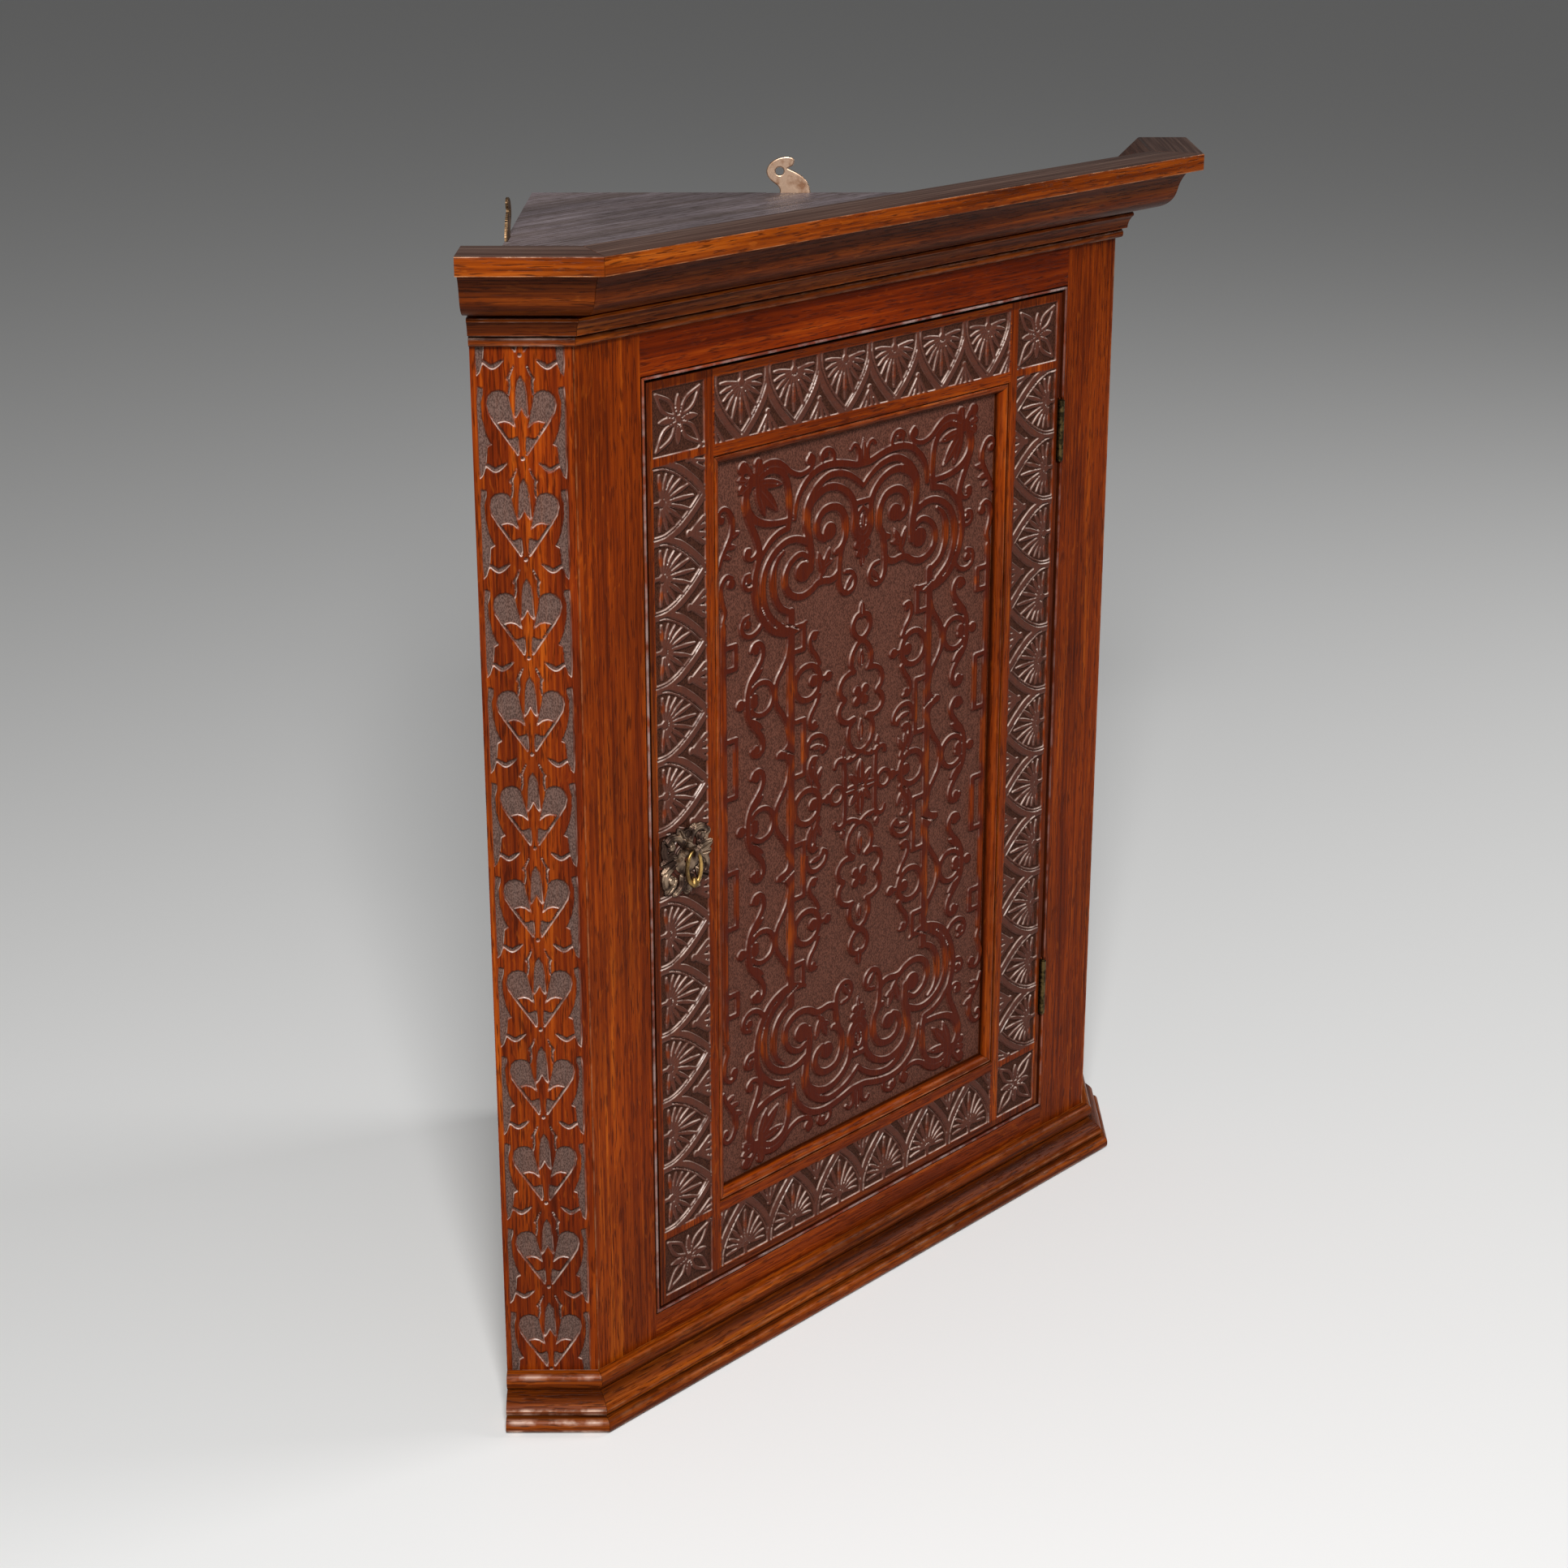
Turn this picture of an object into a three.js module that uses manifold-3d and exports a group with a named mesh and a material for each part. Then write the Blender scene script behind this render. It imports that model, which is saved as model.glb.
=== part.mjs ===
// A hanging corner cupboard in carved oak, in millimetres.
// +Z is up, the door faces -Y and the back corner points to +Y. The functions draw with the face
// frame's front on the plane y = 0. addPart then moves each piece back, so that the origin is the
// middle of the underside.

import * as THREE from "three";
import { mergeVertices } from "three/addons/utils/BufferGeometryUtils.js";
import Module from "manifold-3d";

const wasm = await Module();
wasm.setup();

// Case
const overallHeight = 904;
const faceWidth = 584;
const cantWidth = 69;
const boardThickness = 20;
const backThickness = 12;
const topThickness = 18;
const galleryHeight = 46;
const floorThickness = 16;
const shelfThickness = 14;
const shelfSetback = 16;
const bearerDepth = 14;
const bearerHeight = 18;
const seat = 0.3;

// Door opening and the bead that lines it
const faceStileWidth = 60;
const faceRailHeight = 61;
const topRailHeight = 39;
const beadWidth = 3.5;
const beadDepth = 18;
const beadStandOut = 2;

// Mouldings: how far they stand out from the case, and how high they are
const crownProjection = 65;
const bedProjection = 13.5;
const bedHeight = 21;
const bedLap = 7.5;
const baseProjection = 23.4;
const baseHeight = 41;

// Door
const doorGap = 1.7;
const doorStopGap = 0.4;
const doorMemberWidth = 63.5;
const mouldWidth = 8.5;
const mouldDepth = 9;
const panelStandUp = 3;
const tongueThickness = 6.4;
const tenonLength = 30;
const tenonThickness = 7;
const tenonShoulder = 9;
const stopWidth = 21;
const stopThickness = 12;
const stopLap = 4;
const stopClearance = 30;

// Butt hinges
const hingeLength = 50;
const hingeInset = 89;
const leafThickness = 1.2;
const leafGap = 0.5;
const leafReach = 14;
const knuckleRadius = 2.6;
const knuckleStandOut = 1.6;
const pinRadius = 1.1;
const pinHeadRadius = 1.9;
const pinHeadHeight = 1.2;
const hingeScrewSpread = 17;

// Screws
const screwHeadRadius = 2.2;
const screwShankRadius = 1.2;
const screwHeadDepth = 1;
const screwLength = 10;

// Handle plate, stud and drop
const handlePlateWidth = 52;
const handlePlateHeight = 54;
const handlePlateThickness = 2.5;
const handlePinSpread = 21;
const studRise = 9;
const studFlangeRadius = 4.6;
const studFlangeThickness = 1.4;
const studNeckRadius = 1.7;
const studReach = 8;
const studScrewLength = 11;
const eyeRadius = 3.9;
const eyeWidth = 3;
const eyeBoreRadius = 2;
const dropHalfWidth = 7;
const dropHalfLength = 13;
const dropTubeRadius = 1.35;
const dropBulbRadius = 3.5;
const keyholeRadius = 2.2;
const keyholeSlotWidth = 2;
const keyholeDrop = 6.5;

// Lock
const lockLength = 40;
const lockHeight = 28;
const lockThickness = 9;
const boltLength = 26;
const boltHeight = 12;
const boltThickness = 4.4;

// Hanging plates
const hangerWidth = 37;
const hangerRise = 30;
const hangerTail = 34;
const hangerThickness = 2.2;
const hangerFromApex = 215;
const hangerHoleRadius = 3.4;

// Cutting tools run past what they cut by this much
const overrun = 5;

// How finely round work is faceted
const roundSides = 16;
const smallSides = 10;
const tubeSides = 8;
const ringSides = 32;
const curveSteps = 4;
const stepsPerLobe = 8;

// Outline shares. A pair is a corner. Four numbers are a curve: its control point, then its end.
const crownShares = [
  [-0.15, 0], [-0.15, 0.26], [0.38, 1], [1, 1], [1, 0.71], [0.83, 0.71], [0.81, 0.66],
  [0.735, 0.52, 0.71, 0.36], [0.66, 0.02, 0.36, 0],
];
const bedShares = [
  [0, 0], [0.25, 0], [0.44, 0, 0.44, 0.16], [0.44, 0.32, 0.25, 0.32], [0.2, 0.38],
  [0.66, 0.38], [0.7, 0.72, 1, 0.88], [1, 1], [0, 1],
];
const baseShares = [
  [0, 0], [0.82, 0], [1, 0, 1, 0.12], [1, 0.25, 0.8, 0.265], [0.64, 0.265],
  [0.78, 0.3, 0.77, 0.4], [0.75, 0.48, 0.38, 0.61], [0.17, 0.64], [0.36, 0.7, 0.36, 0.84],
  [0.36, 0.98, 0.1, 1], [0, 1],
];
const mouldShares = [
  [0, -1], [1, -1], [1, -0.84], [0.92, -0.2, 0.12, -0.12], [0.12, -0.03], [0, -0.03],
];
const hangerShares = [
  [0.5, 0], [0.48, 0.4, 0.12, 0.6], [-0.02, 0.68], [0.1, 0.76], [0.2, 0.98, 0, 1],
  [-0.22, 1.02, -0.4, 0.84], [-0.62, 0.56, -0.36, 0.3], [-0.16, 0.14, -0.2, 0],
];
const hangerTailShare = 0.3;
const hangerHoleShares = [-0.2, 0.6];
const hangerScrewShares = [0.75, 0.25];
const plateLobeShare = 0.1;
const plateLobes = 8;
const knuckleCount = 5;
const shelfShares = [1 / 3, 2 / 3];

// Places worked out from the sizes
const half = faceWidth / 2;
const root = Math.SQRT1_2;
const mitreSlope = Math.tan(Math.PI / 8);
const mitreGap = seat / 2 / Math.cos(Math.PI / 8);
const wallLength = faceWidth * root + cantWidth;
const caseTop = overallHeight - galleryHeight - topThickness;
const boardTop = caseTop + topThickness;
const openHalf = half - faceStileWidth;
const openBottom = faceRailHeight;
const openTop = caseTop - topRailHeight;
const hingeGap = 2 * leafThickness + leafGap;
const doorLeft = -openHalf + beadWidth + doorGap;
const doorRight = openHalf - beadWidth - hingeGap;
const doorBottom = openBottom + beadWidth + doorGap;
const doorTop = openTop - beadWidth - doorGap;
const doorMiddle = (doorBottom + doorTop) / 2;
const doorBack = boardThickness - doorStopGap;
const flatHalf = openHalf - beadWidth - doorGap - doorMemberWidth;
const flatBottom = doorBottom + doorMemberWidth;
const flatTop = doorTop - doorMemberWidth;
const grooveBack = mouldDepth + tongueThickness + 2 * seat;
const hingeX = doorRight + hingeGap / 2;
const hingeY = -knuckleStandOut;
const hingeHeights = {
  lower: doorBottom + hingeInset + hingeLength / 2,
  upper: doorTop - hingeInset - hingeLength / 2,
};
const handleX = (doorLeft - flatHalf) / 2;
const eyeZ = doorMiddle + studRise;
const eyeY = -handlePlateThickness - studReach + studFlangeThickness;
const lockBack = doorBack + lockThickness;
const boltFront = doorBack + (lockThickness - boltThickness) / 2;
const hangerMiddle = wallLength - hangerFromApex;
const shelfBottoms = shelfShares.map(
  (share) => openBottom + (caseTop - openBottom) * share - shelfThickness / 2);
const sides = [["left", -1], ["right", 1]];
const shelfNames = ["lower", "upper"];
const hingeEntries = Object.entries(hingeHeights);

// Materials
const oak = { color: 0x6b2c14, roughness: 0.42, metalness: 0 };
const carvedOak = { color: 0x5a2a1c, roughness: 0.55, metalness: 0 };
const plainOak = { color: 0x4d3a30, roughness: 0.75, metalness: 0 };
const brass = { color: 0xb08d4f, roughness: 0.4, metalness: 1 };
const darkBrass = { color: 0x6a5a3a, roughness: 0.5, metalness: 1 };
const steel = { color: 0x5c5a57, roughness: 0.55, metalness: 1 };

const cupboard = new THREE.Group();
const planMiddle = (half + 2 * cantWidth * root - crownProjection) / 2;

function addPart(name, geometry, look) {
  const placed = geometry.translate(0, -planMiddle, 0);
  const mesh = new THREE.Mesh(placed, new THREE.MeshStandardMaterial(look));
  mesh.name = name;
  cupboard.add(mesh);
}

// Solids for cutting and joining

function toSolid(geometry) {
  const bare = geometry.clone();
  bare.deleteAttribute("normal");
  bare.deleteAttribute("uv");
  const shared = mergeVertices(bare);
  const corners = shared.index.array;
  const triangles = [];
  for (let i = 0; i < corners.length; i += 3) {
    const [a, b, c] = corners.slice(i, i + 3);
    if (a !== b && b !== c && c !== a) triangles.push(a, b, c);
  }
  return new wasm.Manifold(new wasm.Mesh({
    numProp: 3,
    vertProperties: new Float32Array(shared.attributes.position.array),
    triVerts: new Uint32Array(triangles),
  }));
}

function toGeometry(solid) {
  const mesh = solid.getMesh();
  const geometry = new THREE.BufferGeometry();
  geometry.setAttribute("position", new THREE.BufferAttribute(mesh.vertProperties, 3));
  geometry.setIndex(new THREE.BufferAttribute(mesh.triVerts, 1));
  geometry.computeVertexNormals();
  return geometry;
}

function cutAway(geometry, tools) {
  return toGeometry(tools.reduce((solid, tool) => solid.subtract(toSolid(tool)), toSolid(geometry)));
}

function joined(geometries) {
  return toGeometry(geometries.map(toSolid).reduce((solid, next) => solid.add(next)));
}

// Simple shapes

function box(x0, x1, y0, y1, z0, z1) {
  const geometry = new THREE.BoxGeometry(x1 - x0, y1 - y0, z1 - z0);
  return geometry.translate((x0 + x1) / 2, (y0 + y1) / 2, (z0 + z1) / 2);
}

function rodAlongZ(x, y, z0, z1, radius, sides = roundSides) {
  const geometry = new THREE.CylinderGeometry(radius, radius, z1 - z0, sides);
  return geometry.rotateX(Math.PI / 2).translate(x, y, (z0 + z1) / 2);
}

function rodAlongX(x0, x1, y, z, radius, sides = roundSides) {
  const geometry = new THREE.CylinderGeometry(radius, radius, x1 - x0, sides);
  return geometry.rotateZ(Math.PI / 2).translate((x0 + x1) / 2, y, z);
}

function rodAlongY(x, y0, y1, z, radius, sides = roundSides) {
  const geometry = new THREE.CylinderGeometry(radius, radius, y1 - y0, sides);
  return geometry.translate(x, (y0 + y1) / 2, z);
}

// A board or block standing on a plan outline
function upright(outline, z0, z1) {
  const shape = new THREE.Shape(outline);
  const geometry = new THREE.ExtrudeGeometry(shape, { depth: z1 - z0, bevelEnabled: false });
  return geometry.translate(0, 0, z0);
}

// Corner points of an outline written in shares of a width and a height
function traced(shares, width, height) {
  const path = new THREE.Path();
  path.moveTo(shares[0][0] * width, shares[0][1] * height);
  for (const step of shares.slice(1)) {
    if (step.length === 2) path.lineTo(step[0] * width, step[1] * height);
    else path.quadraticCurveTo(step[0] * width, step[1] * height, step[2] * width, step[3] * height);
  }
  return path.getPoints(curveSteps);
}

// A moulding planed to one profile. Its ends slope by startSlope and endSlope for each unit that
// the profile stands out, which makes the mitres.
function mouldingRun(profile, origin, outward, upward, length, startSlope, endSlope) {
  const shape = new THREE.Shape(profile);
  const geometry = new THREE.ExtrudeGeometry(shape, { depth: length, bevelEnabled: false });
  const position = geometry.attributes.position;
  for (let i = 0; i < position.count; i += 1) {
    const out = position.getX(i);
    const along = position.getZ(i);
    const trimmed = along > 0 ? -mitreGap + out * endSlope : mitreGap + out * startSlope;
    position.setZ(i, along + trimmed);
  }
  const lengthwise = new THREE.Vector3().crossVectors(outward, upward);
  const frame = new THREE.Matrix4().makeBasis(outward, upward, lengthwise).setPosition(origin);
  return geometry.applyMatrix4(frame);
}

// A point of the plan on one side: inward from the canted face, and back along it from the arris
function planPoint(side, inward, back) {
  return new THREE.Vector2(side * (half + (back - inward) * root), (inward + back) * root);
}

function planBlock(side, inward0, inward1, back0, back1, z0, z1) {
  const outline = [
    planPoint(side, inward0, back0),
    planPoint(side, inward1, back0),
    planPoint(side, inward1, back1),
    planPoint(side, inward0, back1),
  ];
  return upright(outline, z0, z1);
}

// Case boards

// A five-sided board inside the case, set back from the face frame
function floorBoard(z0, z1, setback) {
  const inward = boardThickness + seat;
  const back = cantWidth - backThickness - seat;
  const front = (boardThickness + setback) / root;
  const apex = new THREE.Vector2(0, half + 2 * back * root);
  const outline = [
    planPoint(-1, inward, front - inward), planPoint(1, inward, front - inward),
    planPoint(1, inward, back), apex, planPoint(-1, inward, back),
  ];
  return upright(outline, z0, z1);
}

function hangerSeat(side) {
  const reach = hangerWidth / 2 + seat;
  const depth = cantWidth - hangerThickness - seat;
  return planBlock(side, hangerMiddle - reach, hangerMiddle + reach, depth, cantWidth + overrun,
    boardTop - hangerTail - seat, boardTop + overrun);
}

function topBoard() {
  const outline = [
    planPoint(-1, 0, 0), planPoint(1, 0, 0), planPoint(1, 0, cantWidth),
    new THREE.Vector2(0, half + 2 * cantWidth * root), planPoint(-1, 0, cantWidth),
  ];
  const cuts = sides.flatMap(([, side]) => [hangerSeat(side), ...hangerHoles(side)]);
  return cutAway(upright(outline, caseTop, boardTop), cuts);
}

function backBoardEdges(side) {
  const start = boardThickness + seat;
  const end = side < 0 ? wallLength : wallLength - backThickness - seat;
  return [start, (start + end) / 2, end];
}

function backBoard(side, place) {
  const edges = backBoardEdges(side);
  const start = edges[place] + (place ? seat : 0);
  const board = planBlock(side, start, edges[place + 1], cantWidth - backThickness, cantWidth, 0, caseTop);
  return cutAway(board, [hangerSeat(side), ...hangerHoles(side)]);
}

function bearer(side, top) {
  const back = cantWidth - backThickness - seat;
  const end = wallLength - backThickness - seat - (side < 0 ? 0 : bearerDepth + seat);
  return planBlock(side, boardThickness + seat, end, back - bearerDepth, back, top - bearerHeight, top);
}

// Canted sides

function cantPanel(side) {
  const inner = boardThickness * mitreSlope;
  const outline = [
    planPoint(side, 0, mitreGap), planPoint(side, 0, cantWidth),
    planPoint(side, boardThickness, cantWidth), planPoint(side, boardThickness, inner + mitreGap),
  ];
  return upright(outline, 0, caseTop);
}

// Frames of two stiles and two rails, joined by tenons

function railWithTenons(halfLength, z0, z1, y0, y1) {
  const middle = (y0 + y1) / 2;
  const tenon = box(-halfLength - tenonLength, halfLength + tenonLength,
    middle - tenonThickness / 2, middle + tenonThickness / 2, z0 + tenonShoulder, z1 - tenonShoulder);
  return joined([box(-halfLength, halfLength, y0, y1, z0, z1), tenon]);
}

function mortise(side, edge, z0, z1, y0, y1) {
  const middle = (y0 + y1) / 2;
  const near = side * edge - side * overrun;
  const far = side * (edge + tenonLength + seat);
  return box(Math.min(near, far), Math.max(near, far), middle - tenonThickness / 2 - seat,
    middle + tenonThickness / 2 + seat, z0 + tenonShoulder - seat, z1 - tenonShoulder + seat);
}

// Face frame

function faceStile(side) {
  const arris = half - mitreGap;
  const outline = [
    new THREE.Vector2(side * openHalf, 0), new THREE.Vector2(side * arris, 0),
    new THREE.Vector2(side * (arris - boardThickness * mitreSlope), boardThickness),
    new THREE.Vector2(side * openHalf, boardThickness),
  ];
  const cuts = [
    mortise(side, openHalf, 0, openBottom, 0, boardThickness),
    mortise(side, openHalf, openTop, caseTop, 0, boardThickness),
  ];
  return cutAway(upright(outline, 0, caseTop), cuts);
}

// Four lengths mitred into a rectangle that lines an opening. The profile's first axis points
// into the opening and its second towards the front.

function liningRuns(profile, halfWidth, bottom, top) {
  const front = new THREE.Vector3(0, -1, 0);
  const run = (x, z, acrossX, acrossZ, length) => mouldingRun(
    profile, new THREE.Vector3(x, 0, z), new THREE.Vector3(acrossX, 0, acrossZ), front, length, 1, -1);
  return {
    left: run(-halfWidth, top, 1, 0, top - bottom),
    right: run(halfWidth, bottom, -1, 0, top - bottom),
    top: run(halfWidth, top, 0, -1, 2 * halfWidth),
    bottom: run(-halfWidth, bottom, 0, 1, 2 * halfWidth),
  };
}

// Bead round the door opening

function beadProfile() {
  const nose = new THREE.Path();
  const radius = beadWidth / 2;
  nose.moveTo(0, -beadDepth);
  nose.lineTo(beadWidth, -beadDepth);
  nose.absarc(radius, beadStandOut - radius, radius, 0, Math.PI, false);
  return nose.getPoints(curveSteps);
}

function addBeads() {
  const beads = liningRuns(beadProfile(), openHalf, openBottom, openTop);
  beads.right = cutAway(beads.right, knuckleSeats());
  for (const [name, geometry] of Object.entries(beads)) addPart(`opening_bead_${name}`, geometry, oak);
}

// Screws: a countersunk head and a plain shank, pointing along -Z before they are turned

function screwShape() {
  const profile = [
    [0, 0], [screwHeadRadius, 0], [screwShankRadius, -screwHeadDepth],
    [screwShankRadius, -screwLength], [0, -screwLength - screwShankRadius],
  ];
  return latheAlongZ(profile, smallSides);
}

function screwHoleShape() {
  const wide = screwHeadRadius + seat;
  const narrow = screwShankRadius + seat;
  const depth = screwLength + screwShankRadius + seat;
  const profile = [
    [0, seat], [wide, seat], [wide, 0], [narrow, -screwHeadDepth], [narrow, -depth], [0, -depth],
  ];
  return latheAlongZ(profile, smallSides);
}

// A turned shape. The profile's points give a radius and a height along Z.
function latheAlongZ(profile, segments) {
  const points = profile.map(([radius, height]) => new THREE.Vector2(radius, height));
  const first = points[0].y;
  const last = points[points.length - 1].y;
  if (first > last) points.reverse();
  return new THREE.LatheGeometry(points, segments).rotateX(Math.PI / 2);
}

// Hinges

function knuckleSeats() {
  const reach = hingeLength / 2 + pinHeadHeight + seat;
  const radius = knuckleRadius + 2 * seat;
  return hingeEntries.map(([, z]) => rodAlongZ(hingeX, hingeY, z - reach, z + reach, radius));
}

function hingeScrewPlaces() {
  const y = hingeY + knuckleRadius + seat + leafReach / 2;
  return hingeEntries.flatMap(([, z]) => [-1, 0, 1].map((step) => [y, z + step * hingeScrewSpread]));
}

function turnedAcross(shape, side, y, z) {
  const face = hingeX + side * leafGap / 2;
  return shape.rotateY(-side * Math.PI / 2).translate(face, y, z);
}

function hingeScrewHoles(side) {
  return hingeScrewPlaces().map(([y, z]) => turnedAcross(screwHoleShape(), side, y, z));
}

function hingeLeaf(side, z) {
  const inner = hingeX + side * leafGap / 2;
  const outer = inner + side * leafThickness;
  const x0 = Math.min(inner, outer);
  const x1 = Math.max(inner, outer);
  const clear = hingeY + knuckleRadius + seat;
  const step = hingeLength / knuckleCount;
  const pieces = [box(x0, x1, clear, clear + leafReach, z - hingeLength / 2, z + hingeLength / 2)];
  for (let i = side > 0 ? 0 : 1; i < knuckleCount; i += 2) {
    const z0 = z - hingeLength / 2 + i * step + (i > 0 ? seat / 2 : 0);
    const z1 = z - hingeLength / 2 + (i + 1) * step - (i < knuckleCount - 1 ? seat / 2 : 0);
    pieces.push(rodAlongZ(hingeX, hingeY, z0, z1, knuckleRadius));
    pieces.push(box(x0, x1, hingeY, clear + leafReach / 2, z0, z1));
  }
  const bore = rodAlongZ(hingeX, hingeY, z - hingeLength, z + hingeLength, pinRadius + seat);
  return cutAway(joined(pieces), [bore, ...hingeScrewHoles(side)]);
}

function hingePin(z) {
  const reach = hingeLength / 2 + seat;
  const profile = [
    [0, -reach - pinHeadHeight], [pinHeadRadius, -reach - pinHeadHeight / 2], [pinHeadRadius, -reach],
    [pinRadius, -reach], [pinRadius, reach], [pinHeadRadius, reach],
    [pinHeadRadius, reach + pinHeadHeight / 2], [0, reach + pinHeadHeight],
  ];
  return latheAlongZ(profile, roundSides).translate(hingeX, hingeY, z);
}

// Mouldings round the case: a front length and two returns over the canted sides

function roundTheCase(profile, bottom) {
  const up = new THREE.Vector3(0, 0, 1);
  const at = (point) => new THREE.Vector3(point.x, point.y, bottom);
  const out = (side) => new THREE.Vector3(side * root, -root, 0);
  return {
    front: mouldingRun(
      profile, at(planPoint(1, 0, 0)), new THREE.Vector3(0, -1, 0), up, faceWidth, -mitreSlope, mitreSlope),
    left: mouldingRun(profile, at(planPoint(-1, 0, 0)), out(-1), up, cantWidth, -mitreSlope, 0),
    right: mouldingRun(profile, at(planPoint(1, 0, cantWidth)), out(1), up, cantWidth, 0, mitreSlope),
  };
}

function addMoulding(name, profile, bottom) {
  for (const [place, geometry] of Object.entries(roundTheCase(profile, bottom))) {
    addPart(`${name}_${place}`, geometry, oak);
  }
}

// Hanging plates, let into the backs and screwed to them

// Stands a flat drawing on a wall: its y is height above the top board, its z points at the wall
function onWall(side, geometry, back) {
  const through = new THREE.Vector3(side * root, root, 0);
  const up = new THREE.Vector3(0, 0, 1);
  const along = new THREE.Vector3().crossVectors(up, through);
  const place = planPoint(side, hangerMiddle, back);
  const frame = new THREE.Matrix4().makeBasis(along, up, through);
  return geometry.applyMatrix4(frame.setPosition(place.x, place.y, boardTop));
}

function hangerScrewHeights() {
  return hangerScrewShares.map((share) => -share * hangerTail);
}

function hangerHoles(side) {
  return hangerScrewHeights().map((z) => onWall(side, screwHoleShape().translate(0, z, 0), cantWidth));
}

function hangerScrew(side, height) {
  return onWall(side, screwShape().translate(0, height, 0), cantWidth);
}

function hangingPlate(side) {
  const tailHalf = hangerTailShare * hangerWidth;
  const outline = traced(hangerShares, hangerWidth, hangerRise);
  outline.push(new THREE.Vector2(-tailHalf, -hangerTail), new THREE.Vector2(tailHalf, -hangerTail));
  for (const point of outline) point.setX(-side * point.x);
  if (side > 0) outline.reverse();
  const shape = new THREE.Shape(outline);
  const hole = new THREE.Path();
  const holeX = -side * hangerHoleShares[0] * hangerWidth;
  hole.absarc(holeX, hangerHoleShares[1] * hangerRise, hangerHoleRadius, 0, 2 * Math.PI, true);
  shape.holes.push(new THREE.Path(hole.getSpacedPoints(smallSides).slice(0, smallSides)));
  const flat = new THREE.ExtrudeGeometry(shape, { depth: hangerThickness, bevelEnabled: false });
  return cutAway(onWall(side, flat, cantWidth - hangerThickness), hangerHoles(side));
}

// Door frame

// The lip behind the panel's groove
function backLipProfile() {
  return [
    new THREE.Vector2(0, -doorBack), new THREE.Vector2(mouldWidth, -doorBack),
    new THREE.Vector2(mouldWidth, -grooveBack), new THREE.Vector2(0, -grooveBack),
  ];
}

function doorStile(side, lips) {
  const outer = side < 0 ? doorLeft : doorRight;
  const inner = side * flatHalf;
  const body = box(Math.min(outer, inner), Math.max(outer, inner), 0, doorBack, doorBottom, doorTop);
  const cuts = [
    mortise(side, flatHalf, doorBottom, flatBottom, 0, doorBack),
    mortise(side, flatHalf, flatTop, doorTop, 0, doorBack),
  ];
  if (side > 0) cuts.push(...knuckleSeats());
  else cuts.push(...keyholeCuts(), studHole(), ...handlePinHoles());
  return cutAway(joined([body, ...lips]), cuts);
}

function doorRail(z0, z1, lips) {
  return joined([railWithTenons(flatHalf, z0, z1, 0, doorBack), ...lips]);
}

function addDoorFrame() {
  const front = liningRuns(traced(mouldShares, mouldWidth, mouldDepth), flatHalf, flatBottom, flatTop);
  const back = liningRuns(backLipProfile(), flatHalf, flatBottom, flatTop);
  addPart("door_stile_left", doorStile(-1, [front.left, back.left]), carvedOak);
  addPart("door_stile_right", doorStile(1, [front.right, back.right]), carvedOak);
  addPart("door_rail_top", doorRail(flatTop, doorTop, [front.top, back.top]), carvedOak);
  addPart("door_rail_bottom", doorRail(doorBottom, flatBottom, [front.bottom, back.bottom]), carvedOak);
}

function doorPanel() {
  const back = mouldDepth + seat + tongueThickness;
  const slab = (inset, front) => box(
    -flatHalf + inset, flatHalf - inset, front, back, flatBottom + inset, flatTop - inset);
  const clear = 2 * seat;
  return joined([slab(clear, mouldDepth + seat), slab(mouldWidth + clear, mouldDepth - panelStandUp)]);
}

// Strips behind the left stile that the closed door rests against

function doorStop(z0, z1) {
  const x1 = doorLeft + stopLap;
  return box(x1 - stopWidth, x1, boardThickness, boardThickness + stopThickness, z0, z1);
}

// Handle plate: a cast plate with a scalloped edge, a keyhole, and a stud for the drop

function scallopedOutline() {
  const points = [];
  const count = plateLobes * stepsPerLobe;
  for (let i = 0; i < count; i += 1) {
    const angle = 2 * Math.PI * i / count;
    const swell = 1 - plateLobeShare + plateLobeShare * Math.cos(plateLobes * angle);
    points.push(new THREE.Vector2(
      swell * Math.cos(angle) * handlePlateWidth / 2, swell * Math.sin(angle) * handlePlateHeight / 2));
  }
  return points;
}

function keyholeCuts() {
  const front = -handlePlateThickness - overrun;
  const back = doorBack + lockThickness / 2;
  const slot = box(handleX - keyholeSlotWidth / 2, handleX + keyholeSlotWidth / 2, front, back,
    doorMiddle - keyholeDrop, doorMiddle);
  return [rodAlongY(handleX, front, back, doorMiddle, keyholeRadius), slot];
}

function studHole() {
  const front = -handlePlateThickness - overrun;
  return rodAlongY(handleX, front, studScrewLength + seat, eyeZ, studNeckRadius + seat);
}

function handlePinPlaces() {
  return [-1, 1].map((step) => doorMiddle + step * handlePinSpread);
}

function handlePinHoles() {
  return handlePinPlaces().map((z) => throughPlate(screwHoleShape(), z));
}

// Turns a screw shape to point into the plate from its face
function throughPlate(shape, z) {
  return shape.rotateX(Math.PI / 2).translate(handleX, -handlePlateThickness, z);
}

function handlePlate() {
  const flat = new THREE.ExtrudeGeometry(
    new THREE.Shape(scallopedOutline()), { depth: handlePlateThickness, bevelEnabled: false });
  const plate = flat.rotateX(Math.PI / 2).translate(handleX, 0, doorMiddle);
  return cutAway(plate, [...keyholeCuts(), studHole(), ...handlePinHoles()]);
}

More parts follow.
